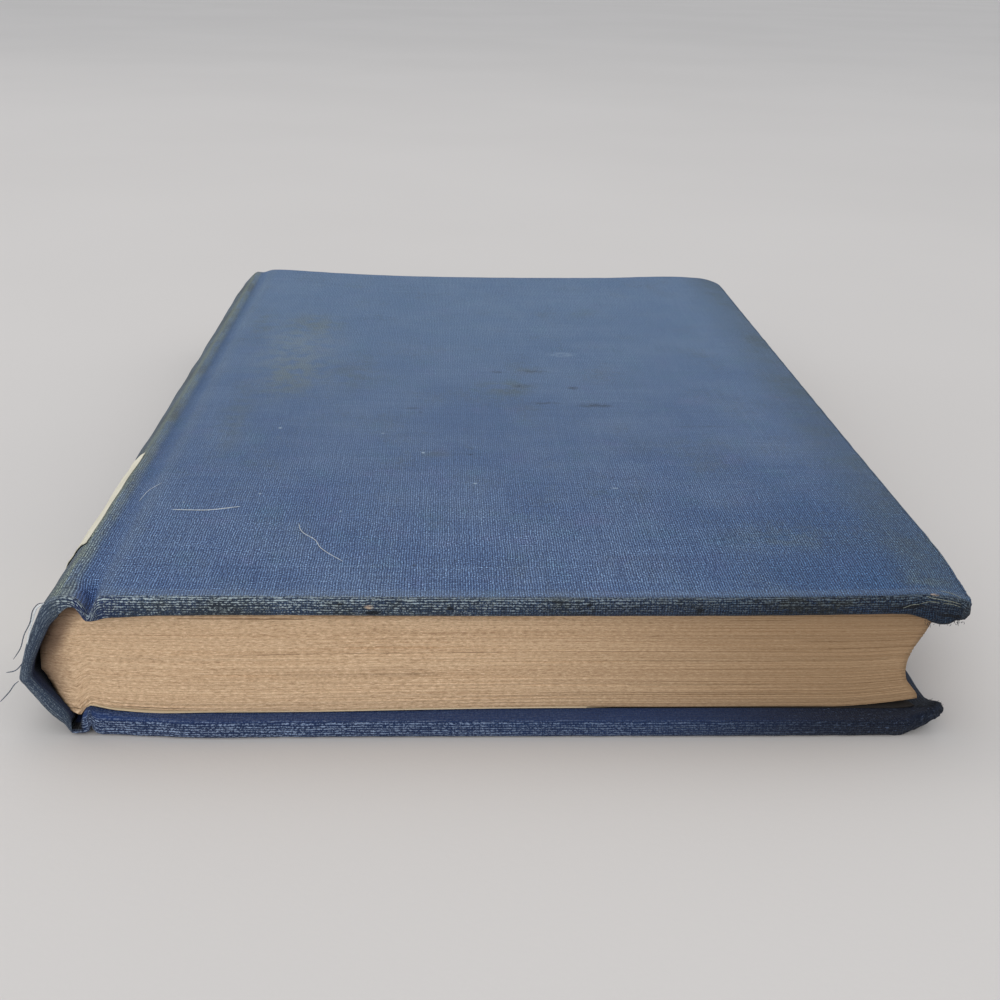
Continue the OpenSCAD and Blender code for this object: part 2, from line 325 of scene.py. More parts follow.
def finish_of(name, at_name, colour_bump, roughness, bump_mm, specular=0.3, sheen=0.0, alpha=False):
    """A material whose colour, height and roughness come from colour_bump(tree, at)."""
    material = bpy.data.materials.new(name)
    material.use_nodes = True
    tree = material.node_tree
    shader = tree.nodes["Principled BSDF"]
    place = tree.nodes.new("ShaderNodeAttribute")
    place.attribute_name = at_name
    got = colour_bump(tree, place.outputs["Vector"])
    put(tree, got["colour"], shader.inputs["Base Color"])
    put(tree, got.get("roughness", roughness), shader.inputs["Roughness"])
    shader.inputs["Specular IOR Level"].default_value = specular
    shader.inputs["Sheen Weight"].default_value = sheen
    shader.inputs["Sheen Roughness"].default_value = 0.6
    bump = tree.nodes.new("ShaderNodeBump")
    bump.inputs["Strength"].default_value = 1.0
    bump.inputs["Distance"].default_value = bump_mm * 0.001
    put(tree, got["height"], bump.inputs["Height"])
    put(tree, bump.outputs[0], shader.inputs["Normal"])
    if alpha:
        put(tree, got["alpha"], shader.inputs["Alpha"])
    return material


def page_edges(tree, at):
    """Cut paper: a line for each leaf and uneven sections, with painted shade in a few gaps between leaves, under the
    front board and the ridge, towards the fore-edge and the back, and on sunk leaves, and painted highlight on proud
    leaves.
    """
    x, y, leaf = parts_of(tree, at)
    leaves = noise_of(tree, stretched(tree, at, (0.010, 0.010, 0.85)), 1.0, 2.0, 0.6)
    bundles = noise_of(tree, stretched(tree, at, (0.006, 0.006, 0.12)), 1.0, 3.0, 0.6)
    gaps = noise_of(tree, stretched(tree, at, (0.03, 0.03, 0.5)), 1.0, 2.0, 0.6)
    fuzz = noise_of(tree, stretched(tree, at, (0.38, 0.38, 0.17)), 3.6, 3.0, 0.8)
    base = tint(tree, span(tree, bundles, 0.3, 0.7), srgb(192, 160, 127), srgb(208, 177, 143))
    base = tint(tree, math_of(tree, "MULTIPLY", span(tree, leaves, 0.38, 0.66), 0.55), base, srgb(222, 193, 160))
    base = tint(tree, math_of(tree, "MULTIPLY", span(tree, gaps, 0.56, 0.7), 0.5), base, srgb(160, 128, 98))
    base = tint(tree, math_of(tree, "MULTIPLY", span(tree, fuzz, 0.5, 0.32), 0.66), base, srgb(146, 116, 88))
    base = tint(tree, math_of(tree, "MULTIPLY", span(tree, fuzz, 0.5, 0.68), 0.64), base, srgb(246, 218, 184))
    # Painted shade on the top leaves, under the front board.
    shade_under_front_board = math_of(tree, "MULTIPLY", span(tree, leaf, 146.0, 157.0), 0.7)
    base = tint(tree, shade_under_front_board, base, srgb(130, 104, 84))
    # Painted shade in the openings between leaves: from x, leaf there, to x, leaf there, darkness
    torn = noise_of(tree, stretched(tree, at, (0.25, 0.25, 0.8)), 1.0, 3.0, 0.7)
    for x0, leaf0, x1, leaf1, strength in [(14, 87, 30, 89.5, 0.5), (28, 89.6, 56, 89.8, 0.45), (48, 89.8, 84, 91.7, 0.55),
                                           (60, 22.3, 100, 24.2, 0.5), (75, 113.8, 79, 117.5, 0.6), (10, 144.4, 29, 144.1, 0.8),
                                           (35, 64.6, 46, 63.3, 0.45), (101, 97, 116, 96.5, 0.6), (108, 103, 116, 97, 0.6),
                                           (100, 24.4, 115, 28, 0.4), (84, 91.7, 104, 92.3, 0.5), (4, 55, 8, 54.8, 0.5),
                                           (1, 4.0, 12, 2.5, 0.8), (84.6, 140.7, 98, 142.7, 0.75)]:
        slope = (leaf1 - leaf0) / (x1 - x0)
        off = math_of(tree, "ABSOLUTE", math_of(tree, "SUBTRACT", leaf, math_of(tree, "MULTIPLY_ADD", x, slope, leaf0 - slope * x0)))
        ends = math_of(tree, "MULTIPLY", span(tree, x, x0, x0 + 3.0), span(tree, x, x1, x1 - 2.0))
        shaded_opening = math_of(tree, "MULTIPLY", math_of(tree, "MULTIPLY", span(tree, off, 1.1, 0.3), ends), span(tree, torn, 0.34, 0.52))
        base = tint(tree, math_of(tree, "MULTIPLY", shaded_opening, strength), base, srgb(92, 68, 48))
    # Painted shade: the face darkens towards the fore-edge, and there sunk leaves get painted shade and proud leaves a
    # painted highlight.
    fore = span(tree, x, 45.0, 108.0)
    base = tint(tree, math_of(tree, "MULTIPLY", fore, 0.76), base, srgb(143, 115, 85))
    shade_on_sunk_leaves = math_of(tree, "MULTIPLY", fore, span(tree, leaves, 0.49, 0.38))
    base = tint(tree, math_of(tree, "MULTIPLY", shade_on_sunk_leaves, 0.36), base, srgb(100, 77, 55))
    highlight_on_proud_leaves = math_of(tree, "MULTIPLY", fore, span(tree, leaves, 0.52, 0.66))
    base = tint(tree, math_of(tree, "MULTIPLY", highlight_on_proud_leaves, 0.3), base, srgb(190, 160, 126))
    # Painted shade towards the rounded back of the block.
    back = span(tree, x, -3.5, -9.0)
    base = tint(tree, math_of(tree, "MULTIPLY", back, 0.7), base, srgb(124, 100, 82))
    # Painted shadow of the ridge: a band over the upper leaves near the back.
    lower_limit = math_of(tree, "MULTIPLY_ADD", leaf, 0.06, -12.0)
    upper = math_of(tree, "MULTIPLY", span(tree, leaf, 60.0, 110.0), span(tree, math_of(tree, "SUBTRACT", x, lower_limit), 1.2, -1.2))
    base = tint(tree, math_of(tree, "MULTIPLY", upper, 0.75), base, srgb(108, 86, 72))
    # Painted shade of the hollow along the back edge of the lower leaves.
    from_back = math_of(tree, "MULTIPLY_ADD", leaf, 0.0758, math_of(tree, "MULTIPLY_ADD", torn, 1.4, x))
    shade_of_hollow_on_back = math_of(tree, "MULTIPLY", span(tree, from_back, -3.7, -4.9), span(tree, leaf, 64.0, 50.0))
    base = tint(tree, math_of(tree, "MULTIPLY", shade_of_hollow_on_back, 0.8), base, srgb(52, 40, 34))
    height = math_of(tree, "MULTIPLY_ADD", leaves, 0.6, math_of(tree, "MULTIPLY", fuzz, 0.4))
    return {"colour": base, "height": height}


text_pages.data.materials.append(finish_of("browned_page_edges_painted_shade", "leaf_at", page_edges, 0.9, 0.16, specular=0.12))
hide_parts("text_block")
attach(text_pages, "book_block")

# The gauze and lining of the back
# A strip of open cotton gauze is glued over the sewn folds, with wings that go under
# the endpapers, and a strip of brown paper over the gauze stiffens the round. These stay
# as modelled, and take their weave and fibre here.


def object_place(tree):
    """The place in the row frame, in millimetres, for pieces that came over as modelled."""
    n = tree.nodes.new("ShaderNodeTexCoord")
    return stretched(tree, n.outputs["Object"], (1000.0, 1000.0, 1000.0))


def plain_finish(name, pattern, roughness, bump_mm, specular=0.2):
    return finish_of(name, "none", lambda tree, at: pattern(tree, object_place(tree)), roughness, bump_mm, specular)


def thread_grid(tree, along, pitch):
    """The rounded tops of parallel threads, 0 between them and 1 on each."""
    return math_of(tree, "ABSOLUTE", math_of(tree, "SINE", math_of(tree, "MULTIPLY", along, math.pi / pitch)))


def gauze(tree, at):
    x, y, z = parts_of(tree, at)
    warp = math_of(tree, "POWER", thread_grid(tree, math_of(tree, "ADD", x, z), 0.9), 4.0)
    weft = math_of(tree, "POWER", thread_grid(tree, y, 0.9), 4.0)
    threads = math_of(tree, "MAXIMUM", warp, weft)
    stain = noise_of(tree, at, 0.12, 3.0)
    glue = tint(tree, span(tree, stain, 0.3, 0.7), srgb(176, 150, 112), srgb(150, 122, 88))
    return {"colour": tint(tree, threads, glue, srgb(216, 205, 182)), "height": threads}


def brown_paper(tree, at):
    fibres = noise_of(tree, stretched(tree, at, (1.0, 0.12, 1.0)), 3.0, 4.0, 0.65)
    blotch = noise_of(tree, at, 0.1, 3.0)
    colour = tint(tree, span(tree, fibres, 0.35, 0.7), srgb(150, 118, 82), srgb(176, 144, 104))
    colour = tint(tree, math_of(tree, "MULTIPLY", span(tree, blotch, 0.5, 0.75), 0.5), colour, srgb(126, 98, 70))
    return {"colour": colour, "height": fibres}


gauze_finish = plain_finish("glued_gauze", gauze, 0.9, 0.12)
for node in ("mull",):
    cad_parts[node].data.materials.clear()
    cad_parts[node].data.materials.append(gauze_finish)
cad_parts["spine_lining"].data.materials.clear()
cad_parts["spine_lining"].data.materials.append(plain_finish("brown_lining_paper", brown_paper, 0.85, 0.05))

# The boards
# Two sheets of grey millboard make the covers, and a strip of manila card stiffens the
# spine. The front board has swollen at its tail corner and dished at the head, and the
# back board's near corner is curled up and soft.
COVER_W, COVER_H = 122.0, 192.0
OUTER_Z, COVER_T = 21.9, 2.6
LEAN = 2.0


def plate_grid(x0, x1, y0, y1, nx, ny):
    return np.meshgrid(np.linspace(x0, x1, nx), np.linspace(y0, y1, ny), indexing="ij")


def slab(name, x0, x1, y0, y1, under, over, corner=(0.0, 0.0)):
    """A closed thin slab between two surfaces, with its fore-edge corners rounded off."""
    x, y = plate_grid(x0, x1, y0, y1, 50, 70)
    for radius, cy, sign in ((corner[0], y0 + corner[0], -1), (corner[1], y1 - corner[1], 1)):
        if radius:
            cx = x1 - radius
            a, b = (x - cx) / radius, sign * (y - cy) / radius
            near = (a > 0) & (b > 0)
            a, b = np.where(near, a, 0), np.where(near, b, 0)
            x = np.where(near, cx + radius * a * np.sqrt(1 - b * b / 2), x)
            y = np.where(near, cy + sign * radius * b * np.sqrt(1 - a * a / 2), y)
    shown = x - (fore_pull(x, y) if x0 < 0 else corner_pull(x, y))
    low = np.stack([shown, y, under(x, y)], -1)
    high = np.stack([shown, y, over(x, y)], -1)
    walls = []
    for side in ((slice(None), 0), (slice(None), -1), (0, slice(None)), (-1, slice(None))):
        pair = np.stack([low[side], high[side]], 0)
        if side in ((slice(None), -1), (0, slice(None))):
            pair = pair[:, ::-1]
        walls.append((pair, pair.copy()))
    return built(name, [(high, high.copy()), (low[:, ::-1], low[:, ::-1].copy())] + walls, "board_at")


def front_outer(x, y):
    return OUTER_Z + front_warp(x, y)


def fore_pull(x, y):
    """How far the back cover's worn fore-edge draws in short of its tip."""
    worn = 0.8 * ease((x - 92) / 26.0) * (1 - ease((y - 22) / 40.0)) * ease((y + 1) / 6.0)
    return worn - 0.4 * ease((x - 104) / 14.0) * (1 - ease(y / 6.0))


def corner_pull(x, y):
    """How far the front cover's fore-edge draws in to its tail corner. It bulges above that."""
    return through(y, [0, 4, 8, 12, 18, 32, 60], [0.6, 0.45, 0.15, -0.15, -0.3, -0.15, 0]) * ease((x - 98) / 24.0)


def tail_push(x, y):
    """How far the back cover stands out past the front one at the tail."""
    near = through(x, [-3, 1, 6, 13, 24, 60, 102, 112, 117], [0, 0.1, 0.5, 0.95, 0.8, 0.6, 0.45, 0.3, 0])
    return near * (1 - ease(y / 30.0))


def back_outer(x, y):
    """The underside of the back cover."""
    return corner_curl(x, y)


def back_inner(x, y):
    swollen = 0.12 * waves(21, x, y, 60, 50)
    thinner = np.clip((corner_curl(x, y)) / 4.0, 0, 1) * 1.1
    return COVER_T + corner_curl(x, y) + swollen * 0.3 + 0.8 * tail_bump(x, y) - thinner


def front_inner(x, y):
    lip = np.exp(-((x - 117.2) / np.where(x < 117.2, 3.1, 2.1)) ** 2 - (y / np.where(x < 117.2, 1.7, 3.2)) ** 2)
    swell = 0.3 * np.exp(-((x - 119) / 6) ** 2 - (y / 9) ** 2) + 1.5 * lip
    drop = through(x, [1, 3, 6, 14, 40, 122], [0.75, 0.65, 0.45, 0.25, 0.18, 0.15]) * (1 - ease(y / 6))
    return OUTER_Z - COVER_T + front_warp(x, y) - swell - drop


front_millboard = slab("front_board", 0.5, COVER_W - 0.8, 0.8, COVER_H - 0.8,
                       lambda x, y: OUTER_Z - 2.2 + front_warp(x, y),
                       lambda x, y: front_outer(x, y) - 0.45, (4.0, 6.0))
back_millboard = slab("back_board", 0.5 - LEAN, COVER_W - LEAN - 0.9, 0.9, COVER_H - 0.8,
                      lambda x, y: back_outer(x, y) + 0.45,
                      lambda x, y: 2.1 + corner_curl(x, y) - 1.25 * np.clip(corner_curl(x, y) / 3, 0, 1), (4.0, 5.0))


def millboard(tree, at):
    fibres = noise_of(tree, at, 1.6, 4.0, 0.7)
    flecks = noise_of(tree, at, 5.0, 2.0, 0.5)
    colour = tint(tree, span(tree, fibres, 0.3, 0.7), srgb(126, 116, 98), srgb(158, 148, 128))
    colour = tint(tree, span(tree, flecks, 0.66, 0.74), colour, srgb(86, 78, 70))
    return {"colour": colour, "height": fibres}


def manila(tree, at):
    fibres = noise_of(tree, at, 2.0, 3.0, 0.6)
    colour = tint(tree, span(tree, fibres, 0.3, 0.7), srgb(176, 150, 108), srgb(200, 176, 134))
    return {"colour": colour, "height": fibres}


board_finish = finish_of("grey_millboard", "board_at", millboard, 0.95, 0.12, specular=0.1)
for piece, node, body in ((front_millboard, "front_board", "front_cover"),
                          (back_millboard, "back_board", "back_cover")):
    piece.name = "shaped_" + node
    piece.data.materials.append(board_finish)
    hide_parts(node)
    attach(piece, body)

# The cloth
# One sheet of dyed plain-weave cotton goes over both boards and the spine, is folded
# over every edge and glued down inside. It has faded and soiled: olive along the ridge,
# still deep blue down in the joint, black with handling along the tail edge, and frayed
# where the spine ends fold over.
WEAVE = 0.37
TURN_IN = 15.0
RIDGE_X = -5.0
SKIN_R = 0.75


def evenly(path, n):
    """A path of points resampled to n points, evenly spaced along it."""
    path = np.asarray(path, float)
    far = np.concatenate([[0], np.cumsum(np.linalg.norm(np.diff(path, axis=0), axis=1))])
    s = np.linspace(0, far[-1], n)
    return np.stack([np.interp(s, far, path[:, k]) for k in range(2)], -1)


def softened(path, times):
    for _ in range(times):
        path = path.copy()
        path[1:-1] = (path[:-2] + 2 * path[1:-1] + path[2:]) / 4
    return path


def ridge_shift(y):
    """The front ridge runs nearer the board towards the head."""
    return through(y, [0, 18, 38, 54, 80, 127, 192], [0.25, 0.4, 0.7, 0.9, 1.25, 1.5, 1.65])


# The joint from the top of each ridge to the flat of its board, in the middle of the book
# and at its tail
JOINT_STEPS = 26
front_joint = softened(evenly([(-5.3, 21.87), (-5, 21.9), (-4.3, 21.82), (-3.75, 21.62), (-3.3, 21.4), (-2.9, 21.24), (-2.3, 21.16),
                               (-1.4, 21.16), (-0.8, 21.25), (-0.4, 21.42), (-0.05, 21.65), (0.4, 21.82),
                               (1.2, 21.9)], JOINT_STEPS), 2)
front_joint_tail = softened(evenly([(-5.3, 21.87), (-5, 21.9), (-3.7, 21.95), (-2.9, 21.7), (-2.0, 20.9), (-1.5, 19.9),
                                    (-1.15, 18.95), (-0.8, 19.3), (-0.3, 20.5), (0.15, 21.4), (0.6, 21.8),
                                    (1.2, 21.9)], JOINT_STEPS), 1)
back_joint = softened(evenly([(-5, 0.3), (-4.4, 0.4), (-4.0, 0.8), (-3.8, 1.4), (-3.4, 1.75), (-3.0, 1.85),
                              (-2.5, 1.75), (-2.15, 1.2), (-1.95, 0.6), (-1.5, 0.15), (-0.8, 0)], JOINT_STEPS), 2)
back_joint_tail = softened(evenly([(-5, 0.3), (-4.0, 0.28), (-3.2, 0.35), (-2.65, 0.6), (-2.4, 1.5), (-2.2, 1.6),
                                   (-2.0, 0.8), (-1.6, 0.3), (-1.2, 0.1), (-0.8, 0)], JOINT_STEPS), 1)


def wall_under_front(x, y):
    """The inner side of the cloth folded in at the tail of the front joint."""
    tail = through(x, [-5, -4.2, -3.4, -2.6, -2.1, -1.6, -1.0, -0.2, 1, 3],
                   [19.1, 19.9, 20.3, 20.1, 19.2, 18.3, 18.1, 18.2, 18.5, 18.85])
    body = through(x, [-5, -4.0, -3.3, -2.8, -1.5, -0.5, 0.5, 3], [19.7, 19.65, 19.6, 19.5, 19.3, 19.25, 19.25, 19.3])
    return tail * (1 - ease(y / 12)) + body * ease(y / 12)


def wall_over_back(x, y):
    tail = through(x, [-5, -4.05, -3.75, -3.4, -3.05, -2.6, -2.0, -1.2, 0.5],
                   [1.1, 1.25, 1.9, 3.1, 3.9, 4.2, 4.1, 3.7, 3.35])
    body = through(x, [-5, -4.2, -3.4, -2.8, -2.2, -1.2, 0.5], [1.5, 1.7, 2.3, 2.55, 2.6, 2.6, 2.6])
    return tail * (1 - ease(y / 12)) + body * ease(y / 12)


def spread(start, end, n, crowd_start, crowd_end):
    """n steps from start to end that crowd together at the ends by these powers."""
    t = np.linspace(0, 1, n)
    return start + (end - start) * t ** crowd_start / (t ** crowd_start + (1 - t) ** crowd_end)


def cover_skin(name, far_x, joint, joint_tail, outer, inner, wall, corner, flip):
    """The cloth of one cover: the joint, the outer face, the rounded edges and the
    turn-ins. The grid's edge is the line where the rounding starts."""
    start_x = joint[-1, 0]
    board_x = spread(start_x, far_x - SKIN_R, 92, 1.25, 1.7)[1:]
    rows = spread(0.0, 1.0, 150, 1.5, 1.5)
    n_x, n_y = JOINT_STEPS + len(board_x), len(rows)
    x, y, z = (np.zeros((n_x, n_y)) for _ in range(3))
    for i in range(n_x):
        if i < JOINT_STEPS:
            edge = 0.55 if i < JOINT_STEPS - 6 else 0.55 + (SKIN_R - 0.55) * ease((i - JOINT_STEPS + 6) / 6)
        else:
            edge = SKIN_R
        yi = edge + (COVER_H - 2 * edge) * rows
        y[i] = yi
        if i < JOINT_STEPS:
            keep = (1 - ease((yi - 1.0) / 7.0))
            shallow = ease((yi - 172) / 16.0)
            x[i] = joint[i, 0] * (1 - keep) + joint_tail[i, 0] * keep
            zi = joint[i, 1] * (1 - keep) + joint_tail[i, 1] * keep
            level_z = joint[0, 1] + (joint[-1, 1] - joint[0, 1]) * i / (JOINT_STEPS - 1)
            z[i] = zi + (level_z - zi) * 0.7 * shallow
        else:
            x[i] = board_x[i - JOINT_STEPS]
            z[i] = np.nan
    normal = np.zeros((n_x, n_y, 2))
    normal[:, 0, 1], normal[:, -1, 1], normal[-1, 1:-1, 0] = -1, 1, 1
    for radius, cy, sign in ((corner[0], corner[0], -1), (corner[1], COVER_H - corner[1], 1)):
        cx, reach = far_x - radius, radius - SKIN_R
        a, b = (x - cx) / reach, sign * (y - cy) / reach
        near = (a > 1e-9) & (b > 1e-9)
        a, b = np.where(near, np.minimum(a, 1), 0), np.where(near, np.minimum(b, 1), 0)
        u, v = a * np.sqrt(1 - b * b / 2), b * np.sqrt(1 - a * a / 2)
        x, y = np.where(near, cx + reach * u, x), np.where(near, cy + sign * reach * v, y)
        length = np.maximum(np.hypot(u, v), 1e-9)
        for k, part in ((0, u / length), (1, sign * v / length)):
            normal[..., k] = np.where(near, part, normal[..., k])
    weave_lift = 0.02 * waves(31, x, y, 9, 7)
    z = np.where(np.isnan(z), outer(x, y), z)
    if outer is front_outer:
        blend_in = ease((x - RIDGE_X) / 6.0)
        joint_part = np.arange(n_x)[:, None] < JOINT_STEPS
        z = np.where(joint_part, z + front_warp(x, y) * blend_in, z)
        x = x + np.where(joint_part, ridge_shift(y) * (1 - ease((x - RIDGE_X) / 4.6)), 0)
    z = z + weave_lift * (-1 if flip else 1)
    flat = x.copy()
    drawn_in = fore_pull if flip else corner_pull

    def shown(x, y, z):
        """The place of a point with the cover's worn outline taken in."""
        return np.stack([x - drawn_in(x, y), y - (tail_push(x, y) if flip else 0), z], -1)

    steps = np.concatenate([[0], np.cumsum(np.linalg.norm(np.diff(joint, axis=0), axis=1))])
    flat[:JOINT_STEPS] = (start_x - steps[-1] + steps)[:, None]
    top = shown(x, y, z)
    top_at = np.stack([flat, y, np.zeros_like(x)], -1)

    ring = [(i, 0) for i in range(n_x)] + [(n_x - 1, j) for j in range(1, n_y)]
    ring += [(i, n_y - 1) for i in range(n_x - 2, -1, -1)]
    ii, jj = np.array(ring).T
    px, py, pz, pn, pf = x[ii, jj], y[ii, jj], z[ii, jj], normal[ii, jj], flat[ii, jj]
    in_joint = ii < JOINT_STEPS
    tail_side, head_side = (jj == 0) & (pn[:, 1] < -0.999), (jj == n_y - 1) & (pn[:, 1] > 0.999)
    radius = np.where(tail_side, py, np.where(head_side, COVER_H - py, SKIN_R))

    def inside_z(qx, qy):
        depth = np.where(qy > COVER_H / 2, COVER_H - qy, qy)
        joined = wall(qx, np.where(qy > COVER_H / 2, 99, depth))
        return np.where(in_joint, joined, inner(qx, qy))

    def inset(d):
        """Plan position of the ring moved in from the outline by d."""
        ox, oy = px + pn[:, 0] * radius, py + pn[:, 1] * radius
        qx, qy = ox - pn[:, 0] * d, oy - pn[:, 1] * d
        arc = (np.abs(pn[:, 0]) > 1e-6) & (np.abs(pn[:, 1]) > 1e-6)
        limit = np.where(pn[:, 1] < 0, corner[0], corner[1])
        past = arc & (d > limit)
        qx = np.where(past, far_x - d, qx)
        qy = np.where(past, np.where(pn[:, 1] < 0, d, COVER_H - d), qy)
        qx = np.where(~arc, np.minimum(qx, far_x - d), qx)
        fore = ~arc & (pn[:, 0] > 0.5)
        qy = np.where(fore, np.clip(qy, d, COVER_H - d), qy)
        return qx, qy

    rings = [shown(px, py, pz)]
    places = [np.stack([pf, py, 0 * px], -1)]
    travelled = np.zeros_like(px)
    deep = inside_z(px, py)
    thick = np.abs(pz - deep)
    soft = np.minimum(radius, thick * 0.48)
    sign = np.sign(deep - pz)
    plan = [("out", a) for a in np.linspace(0, math.pi / 2, 7)[1:]]
    plan += [("wall", w) for w in (0.34, 0.67)] + [("in", a) for a in np.linspace(math.pi / 2, 0, 7)]
    plan += [("under", d) for d in (1.5, 2.2, 3.2, 4.5, 6.0, 9.0, 12.0, TURN_IN)]
    last = rings[0]
    for kind, amount in plan:
        if kind == "out":
            qx, qy = inset(radius * (1 - math.sin(amount)))
            qz = pz + sign * soft * (1 - math.cos(amount))
        elif kind == "wall":
            qx, qy = inset(0.0 * radius)
            qz = pz + sign * (soft + (thick - 2 * soft) * amount)
        elif kind == "in":
            qx, qy = inset(radius * (1 - math.sin(amount)))
            qz = pz + sign * (thick - soft * (1 - math.cos(amount)))
        else:
            qx, qy = inset(amount * np.ones_like(px))
            qz = inside_z(qx, qy)
        if kind != "under":
            worn = np.clip((qx - 108) / 8, 0, 1) * np.clip(1 - qy / 9, 0, 1)
            bulge = 0.03 * waves(33, px + py, pz * 0 + amount, 6, 3)
            bulge = bulge + worn * 0.16 * waves(34, px + py, pz * 0 + amount * 2, 1.1, 1.5)
            qx, qy = qx + pn[:, 0] * bulge, qy + pn[:, 1] * bulge
            qz = qz + worn * 0.10 * waves(35, px - py, pz * 0 + amount, 1.4, 2.0)
        point = shown(qx, qy, qz)
        travelled = travelled + np.linalg.norm(point - last, axis=1)
        rings.append(point)
        places.append(np.stack([pf + pn[:, 0] * travelled, py + pn[:, 1] * travelled, 0 * px + travelled], -1))
        last = point
    rim, rim_at = np.stack(rings, 1), np.stack(places, 1)
    return built(name, [(top, top_at), (rim, rim_at)], "cloth_at", flip)


front_cloth = cover_skin("front_cloth", COVER_W, front_joint, front_joint_tail, front_outer, front_inner,
                         wall_under_front, (2.4, 6.3), False)
back_cloth = cover_skin("back_cloth", COVER_W - LEAN, back_joint, back_joint_tail, back_outer, back_inner,
                        wall_over_back, (2.4, 5.5), True)

# The spine, over the hollow back, from the top of the front ridge to the back ridge


def spine_outline():
    """The cloth over the case: arcs at both ridges, and the round of the back between."""
    fold = np.array([(-6.0, 18.85)] + [(-9.45, 9.05)] + [(-4.9, 3.05)])
    upper, lower = [], []
    for i in range(9):
        s = i / 8
        p = fold[0] + (fold[1] - fold[0]) * s
        d = (fold[1] - fold[0]) / np.linalg.norm(fold[1] - fold[0])
        upper.append(p - np.array([-d[1], d[0]]) * 0.9 * 4 * s * (1 - s))
    for i in range(1, 5):
        lower.append(fold[1] + (fold[2] - fold[1]) * i / 4)
    path = np.array(upper + lower)
    step = np.diff(path, axis=0)
    step /= np.linalg.norm(step, axis=1)[:, None]
    left = np.stack([-step[:, 1], step[:, 0]], -1)
    before, after = np.vstack([left[:1], left]), np.vstack([left, left[-1:]])
    outside = path - 1.8 * (before + after) / (1 + (before * after).sum(1))[:, None]
    front = [(-5 + 1.7 * math.cos(math.radians(a)), 20.2 + 1.7 * math.sin(math.radians(a)))
             for a in np.linspace(90, 158, 8)]
    back = [(-5 + 1.2 * math.cos(math.radians(a)), 1.5 + 1.2 * math.sin(math.radians(a)))
            for a in np.linspace(216, 270, 7)]
    return np.array(front + outside.tolist() + back)


SPINE_STEPS = 84
spine_body = softened(evenly(spine_outline(), SPINE_STEPS), 8)
spine_tail_outer = softened(evenly([(-5, 21.9), (-6, 21.65), (-6.8, 21.0), (-7.8, 19.9), (-8.9, 17.3), (-10.1, 14.4),
                                    (-11.2, 10.8), (-11.6, 8.95), (-10.85, 8.0), (-9.4, 5.5), (-7.5, 2.8), (-5.9, 1.5),
                                    (-5.4, 0.7), (-5.0, 0.3)], SPINE_STEPS), 1)
spine_tail_inner = softened(evenly([(-5, 19.0), (-6.5, 17.3), (-7.7, 15.0), (-8.7, 12.9), (-9.4, 11.2), (-9.7, 9.4),
                                    (-8.7, 7.9), (-7.5, 6.5), (-6.5, 5.15), (-5.4, 3.7), (-4.95, 2.5)], SPINE_STEPS), 2)
step = np.gradient(spine_body, axis=0)
step /= np.linalg.norm(step, axis=1)[:, None]
spine_out = np.stack([step[:, 1], -step[:, 0]], -1)


def spine_surface(s, y, proud=0.0):
    """A point on the spine cloth, for a step s along its outline and a height y."""
    k = np.asarray(s, float)
    at = np.arange(SPINE_STEPS)
    body = np.stack([np.interp(k, at, spine_body[:, c]) for c in range(2)], -1)
    tail = np.stack([np.interp(k, at, spine_tail_outer[:, c]) for c in range(2)], -1)
    out = np.stack([np.interp(k, at, spine_out[:, c]) for c in range(2)], -1)
    keep = (1 - ease((np.asarray(y, float) - 2.0) / 12.0))[..., None]
    p = body * (1 - keep) + tail * keep + out * (proud if np.isscalar(proud) else proud[..., None])
    p[..., 0] += ridge_shift(y) * np.clip((p[..., 1] - 9.0) / 12.2, 0, 1)
    return p


def crumple(s, y):
    """Soft creases in the cloth of the back, away from both ridges."""
    return 0.10 * waves(41, s * 0.25, y, 5, 22) * ease((s - 6) / 8) * ease((SPINE_STEPS - 5 - s) / 8)


s, t = np.meshgrid(np.arange(SPINE_STEPS, dtype=float), spread(0, 1, 130, 1.6, 1.6), indexing="ij")
fold_part = ease(s[:, :1] / 7) * ease((SPINE_STEPS - 1 - s[:, :1]) / 7)
spine_fold = 0.55 + 0.3 * fold_part
y = spine_fold + (COVER_H - 2 * spine_fold) * t
outline = spine_surface(s, y, crumple(s, y))
step_mm = np.linalg.norm(np.diff(spine_body, axis=0), axis=1).mean()
spine_top = np.stack([outline[..., 0], y, outline[..., 1]], -1)
spine_top_at = np.stack([-4.9 - s * step_mm, y, 0 * y], -1)


